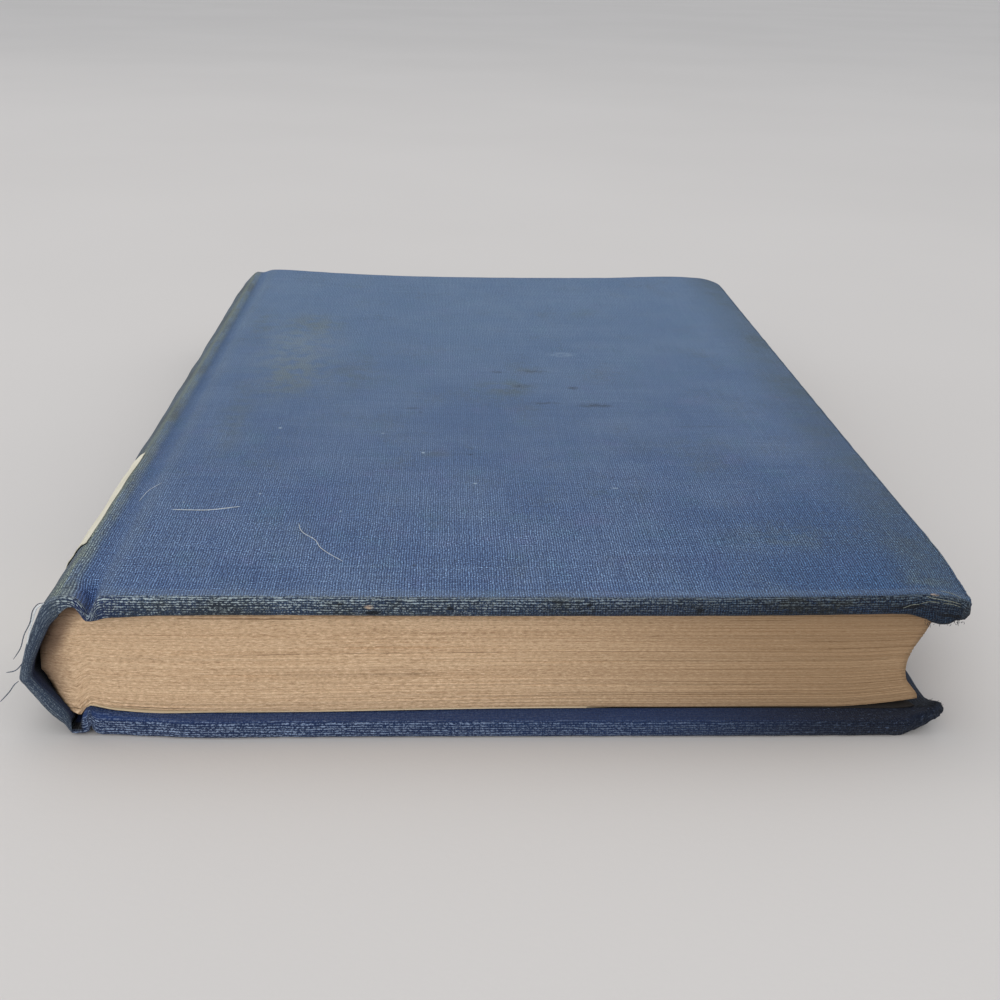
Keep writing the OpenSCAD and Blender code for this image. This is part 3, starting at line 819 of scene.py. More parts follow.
def folded_end(at_head):
    """The cloth folded over the end of the inlay, with pleats and a soft worn edge."""
    k = np.arange(SPINE_STEPS, dtype=float)
    edge = spine_top[:, -1] if at_head else spine_top[:, 0]
    outer_xz = edge[:, [0, 2]]
    if at_head:
        inner_xz = outer_xz - spine_out * (1.1 + 1.1 * np.exp(-((k / 5.0) ** 2)))[:, None]
    else:
        inner_xz = spine_tail_inner
    rows, places = [edge], [spine_top_at[:, -1 if at_head else 0]]
    pleat = 0.35 * waves(51 + at_head, k, 0 * k, 17, 9) + 0.25 * waves(53, k, 0 * k, 6, 9)
    pleat += 0.7 * np.exp(-((k - 49) / 3.0) ** 2) * (0 if at_head else 1)
    for n, a in enumerate(np.linspace(0, math.pi, 13)[1:]):
        share = (1 - math.cos(a)) / 2
        xz = outer_xz * (1 - share) + inner_xz * share
        part, fold = fold_part[:, 0], spine_fold[:, 0]
        reach = (fold + 0.12 * pleat * part) * abs(math.sin(a)) ** (0.4 + 0.6 * part)
        yy = (COVER_H - fold + reach) if at_head else (fold - reach)
        rows.append(np.stack([xz[:, 0], yy, xz[:, 1]], -1))
        places.append(np.stack([-4.9 - k * step_mm, (COVER_H + n * 0.28 if at_head else -n * 0.28) + 0 * k, 0 * k + n], -1))
    for n, depth in enumerate((1.6, 2.4, 3.6, 5.0, 8.0, 11.0, TURN_IN)):
        yy = COVER_H - depth if at_head else depth
        back = 1.0 if at_head else ease((depth - 1.0) / 3.4)
        deep = spine_surface(k, yy + 0 * k, -1.15)
        xz = inner_xz * (1 - back) + deep * back
        rows.append(np.stack([xz[:, 0], yy + 0 * k, xz[:, 1]], -1))
        places.append(np.stack([-4.9 - k * step_mm, (COVER_H + 3.4 + depth if at_head else -3.4 - depth) + 0 * k, 0 * k + 14], -1))
    rows, places = np.stack(rows, 1), np.stack(places, 1)
    return (rows, places) if at_head else (rows[:, ::-1], places[:, ::-1])


spine_skin = built("spine_cloth_folded", [(spine_top, spine_top_at), folded_end(False), folded_end(True)],
                   "cloth_at", True)


# The manila strip between the two layers of cloth
s, t = np.meshgrid(np.linspace(6, SPINE_STEPS - 10, 50), np.linspace(0, 1, 60), indexing="ij")
y = 1.4 + (COVER_H - 2.8) * t
outline = spine_surface(s, y, -0.58)
inlay = built("shaped_spine_inlay", [(np.stack([outline[..., 0], y, outline[..., 1]], -1),
                                      np.stack([s * step_mm, y, 0 * y], -1))], "board_at", True)
inlay_thickness = inlay.modifiers.new("thickness", "SOLIDIFY")
inlay_thickness.thickness, inlay_thickness.offset = 0.0004, 0.0
inlay.data.materials.append(finish_of("manila_card", "board_at", manila, 0.8, 0.04, specular=0.2))
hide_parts("spine_inlay")
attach(inlay, "book_block")


def group_of(name, inputs, outputs, body):
    """A node group with named sockets. body(tree, sockets) returns what each output gets."""
    tree = bpy.data.node_groups.new(name, "ShaderNodeTree")
    for label, kind, value in inputs:
        s = tree.interface.new_socket(label, in_out="INPUT", socket_type=kind)
        if value is not None:
            s.default_value = value
    for label, kind in outputs:
        tree.interface.new_socket(label, in_out="OUTPUT", socket_type=kind)
    source, sink = tree.nodes.new("NodeGroupInput"), tree.nodes.new("NodeGroupOutput")
    got = body(tree, {label: source.outputs[label] for label, _, _ in inputs})
    for label, _ in outputs:
        put(tree, got[label], sink.inputs[label])
    return tree


def used(tree, group, **values):
    n = tree.nodes.new("ShaderNodeGroup")
    n.node_tree = group
    for label, value in values.items():
        put(tree, value, n.inputs[label])
    return n.outputs


def weave_body(tree, sockets):
    """Plain weave: each thread goes over one and under the next, and swells in places."""
    at, pitch = sockets["Place"], sockets["Pitch"]
    wander = noise_of(tree, at, 0.35, 2.0)
    x, y, _ = parts_of(tree, at)
    shift = math_of(tree, "MULTIPLY", math_of(tree, "SUBTRACT", wander, 0.5), 0.5)
    angle_x = math_of(tree, "MULTIPLY", math_of(tree, "DIVIDE", math_of(tree, "ADD", x, shift), pitch), math.pi)
    angle_y = math_of(tree, "MULTIPLY", math_of(tree, "DIVIDE", math_of(tree, "ADD", y, shift), pitch), math.pi)
    sine_x, sine_y = math_of(tree, "SINE", angle_x), math_of(tree, "SINE", angle_y)
    over = math_of(tree, "MULTIPLY", sine_x, sine_y)
    slub_x = noise_of(tree, stretched(tree, at, (2.6, 0.07, 1.0)), 1.0, 2.0, 0.6)
    slub_y = noise_of(tree, stretched(tree, at, (0.07, 2.6, 1.0)), 1.0, 2.0, 0.6)
    down = math_of(tree, "MULTIPLY", math_of(tree, "ABSOLUTE", sine_x),
                   math_of(tree, "MULTIPLY_ADD", over, 0.34, math_of(tree, "MULTIPLY_ADD", slub_x, 0.7, 0.3)))
    across = math_of(tree, "MULTIPLY", math_of(tree, "ABSOLUTE", sine_y),
                     math_of(tree, "MULTIPLY_ADD", over, -0.34, math_of(tree, "MULTIPLY_ADD", slub_y, 0.7, 0.3)))
    return {"Height": math_of(tree, "MAXIMUM", down, across), "Weft": across,
            "Slub": math_of(tree, "MAXIMUM", slub_x, slub_y)}


weave_group = group_of("plain_weave", [("Place", "NodeSocketVector", None), ("Pitch", "NodeSocketFloat", WEAVE)],
                       [("Height", "NodeSocketFloat"), ("Weft", "NodeSocketFloat"), ("Slub", "NodeSocketFloat")],
                       weave_body)


def soil_body(tree, sockets):
    """Old grime: cloudy, with finer specks in it."""
    clouds = noise_of(tree, sockets["Place"], 0.09, 5.0, 0.62)
    fine = noise_of(tree, sockets["Place"], 1.3, 3.0, 0.7)
    mixed = math_of(tree, "MULTIPLY_ADD", fine, 0.45, math_of(tree, "MULTIPLY", clouds, 0.7))
    return {"Mask": span(tree, mixed, sockets["From"], math_of(tree, "ADD", sockets["From"], 0.2))}


soil_group = group_of("old_soil", [("Place", "NodeSocketVector", None), ("From", "NodeSocketFloat", 0.5)],
                      [("Mask", "NodeSocketFloat")], soil_body)


def spot(tree, at, x, y, width, height, soft=0.5):
    """A soft-edged spot at a place on the cloth."""
    n = tree.nodes.new("ShaderNodeVectorMath")
    n.operation = "SUBTRACT"
    put(tree, at, n.inputs[0])
    n.inputs[1].default_value = (x, y, 0)
    near = stretched(tree, n.outputs[0], (2 / width, 2 / height, 0))
    far = tree.nodes.new("ShaderNodeVectorMath")
    far.operation = "LENGTH"
    put(tree, near, far.inputs[0])
    return span(tree, far.outputs["Value"], 1.0, 1.0 - soft)


def cloth_base(tree, at):
    """The faded blue weave that all the cloth shares, with a painted sheen towards the head, before the marks of each
    cover.
    """
    weave = used(tree, weave_group, Place=at)
    x, y, _ = parts_of(tree, at)
    clouds = noise_of(tree, at, 0.045, 5.0, 0.62)
    hue = noise_of(tree, at, 0.12, 3.0, 0.6)
    streaks = noise_of(tree, stretched(tree, at, (0.02, 0.55, 1.0)), 1.0, 3.0, 0.7)
    cross = noise_of(tree, stretched(tree, at, (0.6, 0.02, 1.0)), 1.0, 2.0, 0.6)
    base = tint(tree, span(tree, clouds, 0.3, 0.7), srgb(68, 90, 126), srgb(82, 102, 133))
    base = tint(tree, math_of(tree, "MULTIPLY", span(tree, hue, 0.55, 0.72), 0.35), base, srgb(86, 96, 134))
    base = tint(tree, math_of(tree, "MULTIPLY", span(tree, hue, 0.45, 0.3), 0.35), base, srgb(68, 98, 122))
    base = tint(tree, math_of(tree, "MULTIPLY", span(tree, streaks, 0.52, 0.72), 0.22), base, srgb(104, 124, 152))
    base = tint(tree, math_of(tree, "MULTIPLY", span(tree, streaks, 0.47, 0.3), 0.2), base, srgb(56, 76, 108))
    base = tint(tree, math_of(tree, "MULTIPLY", span(tree, cross, 0.55, 0.75), 0.15), base, srgb(98, 118, 147))
    # Painted sheen: paler and greyer towards the head, where the cloth is seen at a low angle.
    base = tint(tree, math_of(tree, "MULTIPLY", span(tree, y, 15.0, 170.0), 0.46), base, srgb(100, 126, 153))
    shaded = math_of(tree, "MULTIPLY", span(tree, x, 64.0, 116.0), span(tree, y, 70.0, 5.0))
    base = tint(tree, math_of(tree, "MULTIPLY", shaded, 0.78), base, srgb(36, 68, 106))
    return weave, base, x, y


def woven(tree, at, weave, y, base):
    """The weave over a dirty colour: painted shade between the threads, and crowns made paler by rubbing and by painted
    highlight.
    """
    grain = noise_of(tree, at, 3.1, 2.0, 0.8)
    weave_shade_strength = span(tree, y, 80.0, 8.0, 0.3, 1.0)
    # Painted shade in the gaps between threads, and painted highlight with rubbing on the crowns, weaker towards the
    # head.
    shadow, rubbed_and_lit_crown = (0.08, 0.15, 0.33, 1.0), (2.75, 2.65, 2.4, 1.0)
    for mask, strength, colour in ((span(tree, weave["Height"], 0.66, 0.3), 0.97, shadow),
                                   (span(tree, weave["Height"], 0.70, 0.95), 0.85, rubbed_and_lit_crown),
                                   (span(tree, grain, 0.49, 0.35), 0.92, shadow),
                                   (span(tree, grain, 0.51, 0.65), 0.85, rubbed_and_lit_crown)):
        factor = math_of(tree, "MULTIPLY", mask, math_of(tree, "MULTIPLY", weave_shade_strength, strength))
        base = tint(tree, factor, base, colour, "MULTIPLY")
    return base


def bared_threads(tree, at, slope=0.05):
    """Lengthwise threads laid bare along a folded edge, worn to dashes: 1 on a thread and 0 between."""
    _, y, _ = parts_of(tree, at)
    bend = noise_of(tree, stretched(tree, at, (0.10, 0.5, 1.0)), 1.0, 3.0, 0.6)
    wave = thread_grid(tree, math_of(tree, "MULTIPLY_ADD", bend, 0.8, y), 0.38)
    dashes = noise_of(tree, stretched(tree, at, (2.2, 2.6, 1.0)), 1.0, 3.0, 0.8)
    specks = noise_of(tree, at, 2.6, 2.0, 0.8)
    mixed = math_of(tree, "MULTIPLY_ADD", dashes, 1.1, math_of(tree, "MULTIPLY_ADD", wave, 0.36, math_of(tree, "MULTIPLY", specks, 1.0)))
    return span(tree, math_of(tree, "MULTIPLY_ADD", y, slope, mixed), 1.27, 1.52)


def front_cloth_look(tree, at):
    weave, base, x, y = cloth_base(tree, at)
    grime = used(tree, soil_group, Place=at, From=0.5)["Mask"]
    faint = used(tree, soil_group, Place=stretched(tree, at, (1.0, 0.7, 1.0)), From=0.58)["Mask"]
    ridge = span(tree, x, -3.0, -4.8)
    patchy = span(tree, noise_of(tree, stretched(tree, at, (0.5, 0.12, 1.0)), 1.0, 3.0, 0.65), 0.36, 0.64, 0.28, 0.66)
    base = tint(tree, math_of(tree, "MULTIPLY", ridge, patchy), base, srgb(112, 122, 116))
    base = tint(tree, math_of(tree, "MULTIPLY", math_of(tree, "MULTIPLY", ridge, grime), 0.5), base, srgb(62, 64, 58))
    groove = math_of(tree, "MULTIPLY", span(tree, x, -4.4, -3.2), span(tree, x, -0.2, -1.6))
    tail_end = span(tree, y, 7.0, 1.0)
    base = tint(tree, math_of(tree, "MULTIPLY", groove, 0.1), base, srgb(54, 82, 128))
    base = tint(tree, math_of(tree, "MULTIPLY", math_of(tree, "MULTIPLY", groove, tail_end), 0.75), base, srgb(28, 52, 108))
    line = math_of(tree, "MULTIPLY", span(tree, x, -0.9, 0.3), span(tree, x, 2.8, 0.9))
    base = tint(tree, math_of(tree, "MULTIPLY", line, 0.14), base, srgb(104, 116, 122))
    fore = math_of(tree, "MULTIPLY", span(tree, x, 108.0, 121.0), math_of(tree, "MULTIPLY_ADD", grime, 0.5, 0.5))
    base = tint(tree, math_of(tree, "MULTIPLY", fore, 0.7), base, srgb(60, 74, 80))
    base = tint(tree, math_of(tree, "MULTIPLY", faint, 0.3), base, srgb(74, 84, 84))
    # Olive stains, dark streaks and pale specks: x, y, width, height, strength
    olive = [(16, 98, 16, 34, 0.42), (17, 139, 20, 26, 0.36), (5, 138, 9, 34, 0.36), (28, 101, 18, 34, 0.3),
             (60, 94, 18, 15, 0.5), (66, 106, 12, 7, 0.4), (45, 56, 14, 6, 0.3), (8, 70, 10, 60, 0.3),
             (88, 60, 40, 18, 0.14), (100, 20, 34, 14, 0.24), (116, 6, 12, 10, 0.4)]
    ragged = span(tree, noise_of(tree, at, 0.25, 4.0, 0.65), 0.36, 0.6)
    shreds = span(tree, noise_of(tree, stretched(tree, at, (0.5, 0.9, 1.0)), 1.0, 4.0, 0.7), 0.36, 0.58)
    for sx, sy, w, h, strength in olive:
        mask = math_of(tree, "MULTIPLY", spot(tree, at, sx, sy, w, h, 0.9), ragged)
        base = tint(tree, math_of(tree, "MULTIPLY", mask, strength), base, srgb(84, 94, 86))
    greyed = math_of(tree, "MULTIPLY", spot(tree, at, 15, 116, 26, 90, 0.9), ragged)
    base = tint(tree, math_of(tree, "MULTIPLY", greyed, 0.4), base, srgb(118, 128, 126))
    for sx, sy, w, h, strength in [(76.8, 83, 11, 3.4, 0.6), (66.9, 84.3, 9, 2.2, 0.5), (73.4, 94.2, 3.4, 3.6, 0.6),
                                   (63, 95.2, 5, 3.0, 0.55), (58.3, 104.8, 4.5, 2.4, 0.5), (66.1, 105.4, 8, 2.6, 0.5),
                                   (51.9, 55.5, 1.2, 1.1, 0.9), (43, 10.8, 1.0, 0.9, 0.8), (40.9, 80.4, 5, 1.6, 0.4),
                                   (42.9, 78, 1.6, 6, 0.35), (96, 71, 16, 1.8, 0.25)]:
        mask = math_of(tree, "MULTIPLY", spot(tree, at, sx, sy, w, h, 0.8), shreds)
        base = tint(tree, math_of(tree, "MULTIPLY", mask, strength), base, srgb(38, 46, 62))
    base = woven(tree, at, weave, y, base)
    for sx, sy, w, h, strength in [(17.1, 67.9, 0.9, 1.3, 0.6), (43.5, 56.2, 0.9, 1.0, 0.8), (52.4, 42, 1.0, 0.8, 0.7),
                                   (75.6, 40.3, 1.6, 1.0, 0.4), (17.5, 36.8, 0.7, 0.9, 0.6), (6, 33, 0.5, 0.6, 0.6),
                                   (73, 118, 9, 5, 0.25), (31, 30, 0.6, 0.8, 0.5), (36, 66, 1.0, 0.9, 0.4)]:
        mask = spot(tree, at, sx, sy, w, h, 0.8)
        if w > 2:
            mask = math_of(tree, "MULTIPLY", mask, shreds)
        base = tint(tree, math_of(tree, "MULTIPLY", mask, strength), base, srgb(168, 186, 202))
    bared = bared_threads(tree, at)
    edge = math_of(tree, "MULTIPLY", span(tree, y, 1.7, 0.3), math_of(tree, "MULTIPLY_ADD", grime, 0.2, 0.8))
    dark = tint(tree, span(tree, x, 12.0, 104.0), srgb(36, 47, 62), srgb(7, 9, 13))
    dark = tint(tree, span(tree, x, 7.0, -1.0), dark, srgb(20, 34, 72))
    dark = tint(tree, span(tree, x, -3.2, -4.8), dark, srgb(46, 58, 78))
    pale = tint(tree, span(tree, x, 12.0, 104.0), srgb(186, 200, 204), srgb(98, 109, 115))
    rim = tint(tree, bared, dark, pale)
    # Darker on the lower side of the rounded tail edge, from the middle out to the fore-edge.
    darker_low_rim = math_of(tree, "MULTIPLY", span(tree, x, 48.0, 76.0), span(tree, y, 0.2, -2.3))
    rim = tint(tree, math_of(tree, "MULTIPLY", darker_low_rim, 0.62), rim, srgb(9, 11, 18))
    rim = tint(tree, math_of(tree, "MULTIPLY", grime, 0.35), rim, srgb(44, 48, 48))
    base = tint(tree, edge, base, rim)
    worn_line = math_of(tree, "MULTIPLY", span(tree, y, 3.4, 2.2), span(tree, y, 0.9, 1.8))
    base = tint(tree, math_of(tree, "MULTIPLY", worn_line, 0.18), base, srgb(118, 130, 142))
    base = tint(tree, math_of(tree, "MULTIPLY", span(tree, x, 122.2, 123.2), 0.75), base, srgb(44, 50, 56))
    base = tint(tree, math_of(tree, "MULTIPLY", span(tree, y, 191.0, 192.2), 0.5), base, srgb(56, 66, 76))
    # Places where the board's edge has worn through: x, place round the edge, width, height
    for sx, sy, w, h in [(37.2, -0.8, 1.9, 0.8), (116.1, 0.9, 1.7, 0.9)]:
        base = tint(tree, math_of(tree, "MULTIPLY", spot(tree, at, sx, sy, w, h, 0.6), shreds), base, srgb(196, 172, 150))
    for sx, sy, w, h in [(37.6, -1.7, 3.0, 1.1), (48.1, -1.0, 1.6, 0.8), (67.3, -0.4, 1.3, 0.7), (33.2, -0.4, 1.4, 0.5),
                         (82.7, -1.3, 1.6, 0.8), (112.5, -1.2, 8, 0.9), (118.6, -2.4, 6.5, 0.8)]:
        base = tint(tree, math_of(tree, "MULTIPLY", spot(tree, at, sx, sy, w, h, 0.7), 0.85), base, srgb(14, 16, 20))
    rough = span(tree, grime, 0.0, 1.0, 0.86, 0.78)
    return {"colour": base, "height": weave["Height"], "roughness": rough}


def back_cloth_look(tree, at):
    weave, base, x, y = cloth_base(tree, at)
    base = tint(tree, 0.4, base, srgb(46, 66, 104))
    grime = used(tree, soil_group, Place=at, From=0.46)["Mask"]
    base = tint(tree, math_of(tree, "MULTIPLY", grime, 0.35), base, srgb(46, 52, 62))
    base = woven(tree, at, weave, y, base)
    edge = span(tree, y, 2.0, 0.6)
    pale = tint(tree, span(tree, x, 10.0, 90.0), srgb(150, 168, 198), srgb(100, 116, 142))
    rim = tint(tree, bared_threads(tree, at, 0.0), srgb(26, 42, 76), pale)
    base = tint(tree, math_of(tree, "MULTIPLY", edge, 0.85), base, rim)
    # Painted shade in the notch where the back joint meets the tail of the spine.
    notch_shade = math_of(tree, "MULTIPLY", span(tree, x, -4.6, -5.3), span(tree, y, 0.2, -0.8))
    base = tint(tree, notch_shade, base, srgb(9, 10, 15))
    base = tint(tree, math_of(tree, "MULTIPLY", span(tree, y, -2.0, -2.8), 0.75), base, srgb(38, 60, 108))
    inside = span(tree, x, 119.6, 121.6)
    base = tint(tree, math_of(tree, "MULTIPLY", inside, 0.8), base, srgb(44, 52, 64))
    frayed = math_of(tree, "MULTIPLY", span(tree, x, 70.0, 112.0), span(tree, y, 12.0, 1.0))
    base = tint(tree, math_of(tree, "MULTIPLY", frayed, 0.86), base, srgb(11, 14, 22))
    specks = span(tree, noise_of(tree, stretched(tree, at, (0.8, 1.0, 1.0)), 2.6, 3.0, 0.8), 0.56, 0.7)
    base = tint(tree, math_of(tree, "MULTIPLY", math_of(tree, "MULTIPLY", frayed, specks), 0.7), base, srgb(94, 110, 140))
    tip = math_of(tree, "MULTIPLY", span(tree, x, 108.0, 118.0), span(tree, y, 8.0, 0.0))
    wisps = span(tree, noise_of(tree, stretched(tree, at, (1.2, 1.2, 1.2)), 1.0, 4.0, 0.75), 0.56, 0.72)
    base = tint(tree, math_of(tree, "MULTIPLY", math_of(tree, "MULTIPLY", tip, wisps), 0.5), base, srgb(92, 104, 122))
    return {"colour": base, "height": math_of(tree, "MULTIPLY_ADD", wisps, 0.5, weave["Height"]), "roughness": 0.85}


def spine_cloth_look(tree, at):
    weave, base, x, y = cloth_base(tree, at)
    grime = used(tree, soil_group, Place=at, From=0.45)["Mask"]
    base = tint(tree, 0.55, base, srgb(90, 98, 92))
    base = tint(tree, math_of(tree, "MULTIPLY", grime, 0.55), base, srgb(58, 62, 58))
    base = tint(tree, math_of(tree, "MULTIPLY", span(tree, x, -7.6, -5.6), 0.62), base, srgb(110, 120, 112))
    base = woven(tree, at, weave, y, base)
    fold = span(tree, y, 1.4, 0.3)
    worn = tint(tree, bared_threads(tree, at), srgb(50, 62, 82), srgb(134, 148, 160))
    base = tint(tree, math_of(tree, "MULTIPLY", fold, 0.8), base, worn)
    inner = span(tree, y, -2.3, -3.2)
    base = tint(tree, math_of(tree, "MULTIPLY", inner, 0.88), base, srgb(24, 38, 70))
    # Painted shadow of the hollow on the turn-in deep inside the spine.
    deep = span(tree, y, -5.0, -7.0)
    base = tint(tree, math_of(tree, "MULTIPLY", deep, 0.85), base, srgb(6, 8, 14))
    crest = math_of(tree, "MULTIPLY", span(tree, y, -0.7, 0.0), span(tree, y, 1.0, 0.4))
    frayed = math_of(tree, "MULTIPLY", crest, span(tree, noise_of(tree, at, 0.9, 3.0), 0.42, 0.62))
    base = tint(tree, math_of(tree, "MULTIPLY", frayed, 0.25), base, srgb(150, 164, 178))
    return {"colour": base, "height": weave["Height"], "roughness": 0.86}


for piece, look, name in ((front_cloth, front_cloth_look, "front_book_cloth"),
                          (back_cloth, back_cloth_look, "back_book_cloth"),
                          (spine_skin, spine_cloth_look, "spine_book_cloth")):
    piece.data.materials.append(finish_of(name, "cloth_at", look, 0.82, 0.13, specular=0.12, sheen=0.06))
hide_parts("front_cover_cloth")
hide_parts("back_cover_cloth")
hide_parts("spine_cloth")
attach(spine_skin, "book_block")
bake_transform(front_cloth)
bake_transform(back_cloth)

# The endpapers
# A folded sheet of cream paper at each end: one half is pasted over the turn-ins and
# the gauze inside the cover, and the other is the free flyleaf. The back flyleaf has lost
# its corner at the tail, torn from a little past the middle out to the fore-edge.
PAPER_T = 0.15


def thin_sheet(name, points, at, thickness, look, body=None):
    sheet = built(name, [(points, at)], "paper_at")
    thick = sheet.modifiers.new("thickness", "SOLIDIFY")
    thick.thickness, thick.offset = thickness * 0.001, 0.0
    sheet.data.materials.append(look)
    return sheet


def endpaper_look(tree, at, dirt_and_shade_strength=0.0):
    x, y, _ = parts_of(tree, at)
    mottle = noise_of(tree, at, 0.03, 4.0, 0.6)
    fibres = noise_of(tree, at, 3.5, 3.0, 0.6)
    colour = tint(tree, span(tree, mottle, 0.3, 0.7), srgb(214, 196, 164), srgb(228, 212, 184))
    colour = tint(tree, math_of(tree, "MULTIPLY", span(tree, fibres, 0.4, 0.7), 0.2), colour, srgb(196, 176, 142))
    browned = math_of(tree, "MAXIMUM", span(tree, x, 104.0, 119.0), math_of(
        tree, "MAXIMUM", span(tree, y, 16.0, 2.0), span(tree, y, 176.0, 190.0)))
    colour = tint(tree, math_of(tree, "MULTIPLY", browned, 0.4), colour, srgb(186, 160, 122))
    foxing = span(tree, noise_of(tree, at, 0.22, 3.0, 0.6), 0.68, 0.76)
    colour = tint(tree, math_of(tree, "MULTIPLY", foxing, 0.5), colour, srgb(164, 124, 82))
    if dirt_and_shade_strength:
        # Dark dirt and painted shade in the gap under the lifted pages, near the tail of the back pastedown.
        dirt_and_gap_shade = math_of(tree, "MULTIPLY", span(tree, x, 64.0, 72.0), span(tree, y, 24.0, 12.0))
        colour = tint(tree, math_of(tree, "MULTIPLY", dirt_and_gap_shade, dirt_and_shade_strength), colour, srgb(17, 18, 24))
    return {"colour": colour, "height": fibres}


dirt_and_shade_endpaper_finish = finish_of("endpaper_dirt_and_painted_shade", "paper_at", lambda tree, at: endpaper_look(tree, at, 0.97), 0.88, 0.03,
                           specular=0.15)
endpaper_finish = finish_of("aged_endpaper", "paper_at", endpaper_look, 0.88, 0.03, specular=0.15)
sheet_steps = np.concatenate([np.linspace(-2.9, 8, 24), np.linspace(8, 118, 56)[1:]])


def torn_edge(x):
    """How far up from the tail the back flyleaf is torn away."""
    part = np.clip((x - 68.6) / (116.5 - 68.6), 0, 1)
    ragged = 0.5 * waves(61, x, 0 * x, 5, 3)
    return np.where(part > 0, np.interp(part, [0, 0.02, 0.12, 0.4, 0.68, 0.9, 1],
                                        [0, 2.5, 6.6, 11.5, 19.8, 24.8, 33]) + ragged, 0)


x = sheet_steps[:, None] * np.ones((1, 80))
low = LEAF_TAIL - 0.15 - 1.75 * (1 - ease((x - 2) / 66)) * 0.95 * ease((x + 9) / 5)
low = low + torn_edge(x)
y = low + (LEAF_HEAD - low) * np.linspace(0, 1, 80)[None, :]
x_back = np.minimum(x, 116.4)
back_leaf = np.stack([x_back, y, block_bottom(x_back, y) - 0.12 - 0.35 * np.exp(-((x - 6) / 6) ** 2) * (1 - ease((y - 1) / 20))], -1)
back_fly = thin_sheet("back_free_endpaper", back_leaf, np.stack([x, y, 0 * x], -1), PAPER_T, endpaper_finish)
y = LEAF_TAIL + (LEAF_HEAD - LEAF_TAIL) * np.linspace(0, 1, 80)[None, :] * np.ones_like(x)
x_front = np.minimum(x, 117.3)
front_leaf = np.stack([x_front, y, block_top(x_front, y) + 0.09], -1)
front_fly = thin_sheet("front_free_endpaper", front_leaf, np.stack([x, y, 0 * x], -1), PAPER_T, endpaper_finish)


def pasted(name, far_x, shift, surface, fold_z, wall, side):
    """The pasted half, from its fold at the shoulder across the joint and over the board."""
    x = sheet_steps[:, None] * np.ones((1, 90))
    x = np.minimum(x, far_x)
    y = 3.2 + (COVER_H - 6.4) * np.linspace(0, 1, 90)[None, :] * np.ones_like(x)
    sunk = ease((far_x + 3.2 - TURN_IN - x) / 1.2) * ease((y - TURN_IN) / 1.2) * ease((COVER_H - TURN_IN - y) / 1.2)
    wing = 0.22 * (1 - ease((x - 25 + shift) / 1.5))
    depth = (0.3 * sunk - wing * sunk) * ease((x - 1) / 4)
    join = 1 - ease((x + 2.9) / 2.6)
    z = surface(x, y, depth)
    over = wall(x, np.where(y > COVER_H / 2, 99, y)) + side * 0.14
    z = z + side * np.maximum(side * (over - z), 0) * (1 - ease((x - 1.3) / 2.5)) * ease((x + 2.4) / 1.6)
    z = z * (1 - join) + fold_z(x, y) * join
    shown = x - (fore_pull(x, y) if shift else corner_pull(x, y))
    return thin_sheet(name, np.stack([shown, y, z], -1), np.stack([x, y, 0 * x], -1), PAPER_T,
                      dirt_and_shade_endpaper_finish if shift else endpaper_finish)


front_paste = pasted("front_pasted_endpaper", COVER_W - 3.2, 0.0,
                     lambda x, y, d: OUTER_Z - COVER_T + front_warp(x, y) - 0.08 + d,
                     lambda x, y: block_top(x, y) + 0.2, wall_under_front, -1)
back_paste = pasted("back_pasted_endpaper", COVER_W - 3.2 - LEAN, LEAN,
                    lambda x, y, d: COVER_T + 0.8 * tail_bump(x, y) + corner_curl(x, y) * 0.9 + 0.1 - d,
                    lambda x, y: block_bottom(x, y) - 0.2, wall_over_back, 1)
for piece, node, body in ((front_fly, "front_flyleaf", "book_block"), (back_fly, "back_flyleaf", "book_block")):
    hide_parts(node)
    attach(piece, body)
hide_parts("front_pastedown")
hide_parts("back_pastedown")
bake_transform(front_paste)
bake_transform(back_paste)

# Gauze wings under the pasted endpapers, following the shape of each board
for name, body, base, side, shift in (("front_mull_wing", "front_cover", None, -1, 0.0),
                                      ("back_mull_wing", "back_cover", None, 1, LEAN)):
    x, y = plate_grid(-2.4, 25 - shift, TURN_IN + 0.3, COVER_H - TURN_IN - 0.3, 30, 60)
    if side < 0:
        z = OUTER_Z - 2.25 - 0.12 + front_warp(x, y)
    else:
        z = 2.25 + 0.12 + 0 * x
    wing = thin_sheet("shaped_" + name, np.stack([x, y, z], -1), np.stack([x, y, 0 * x], -1), 0.12,
                      finish_of(name + "_gauze", "paper_at", gauze, 0.9, 0.1))
    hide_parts(name)
    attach(wing, body)

# The spine label
# A blank paper label is pasted round the spine near the tail. Its lower end is torn on
# the slant, and its front end laps up onto the ridge.
label_s = np.linspace(1.7, SPINE_STEPS - 6, 64)
s, t = np.meshgrid(label_s, np.linspace(0, 1, 60), indexing="ij")
front_share = np.clip((26 - s) / 24, 0, 1)
near = 18.2 + 0.3 * waves(71, s, 0 * s, 9, 3) + 3.2 * (1 - front_share)
far = 54.8 + 0.25 * waves(72, s, 0 * s, 8, 3)
y = near + (far - near) * t
s = s + front_share ** 8 * (0.3 * waves(73, y, 0 * y, 16, 3) - 0.2 * t + 1.7 * np.sin(math.pi * t) ** 0.7 + 0.9 * (1 - t) ** 4)
lift = 0.09 + 0.16 * np.exp(-(t / 0.05) ** 2) + 0.08 * np.exp(-((1 - t) / 0.04) ** 2)
outline = spine_surface(s, y, crumple(s, y) + lift)
label = thin_sheet("paper_spine_label", np.stack([outline[..., 0], y, outline[..., 1]], -1),
                   np.stack([s * step_mm, y, 0 * y], -1), 0.12, None)


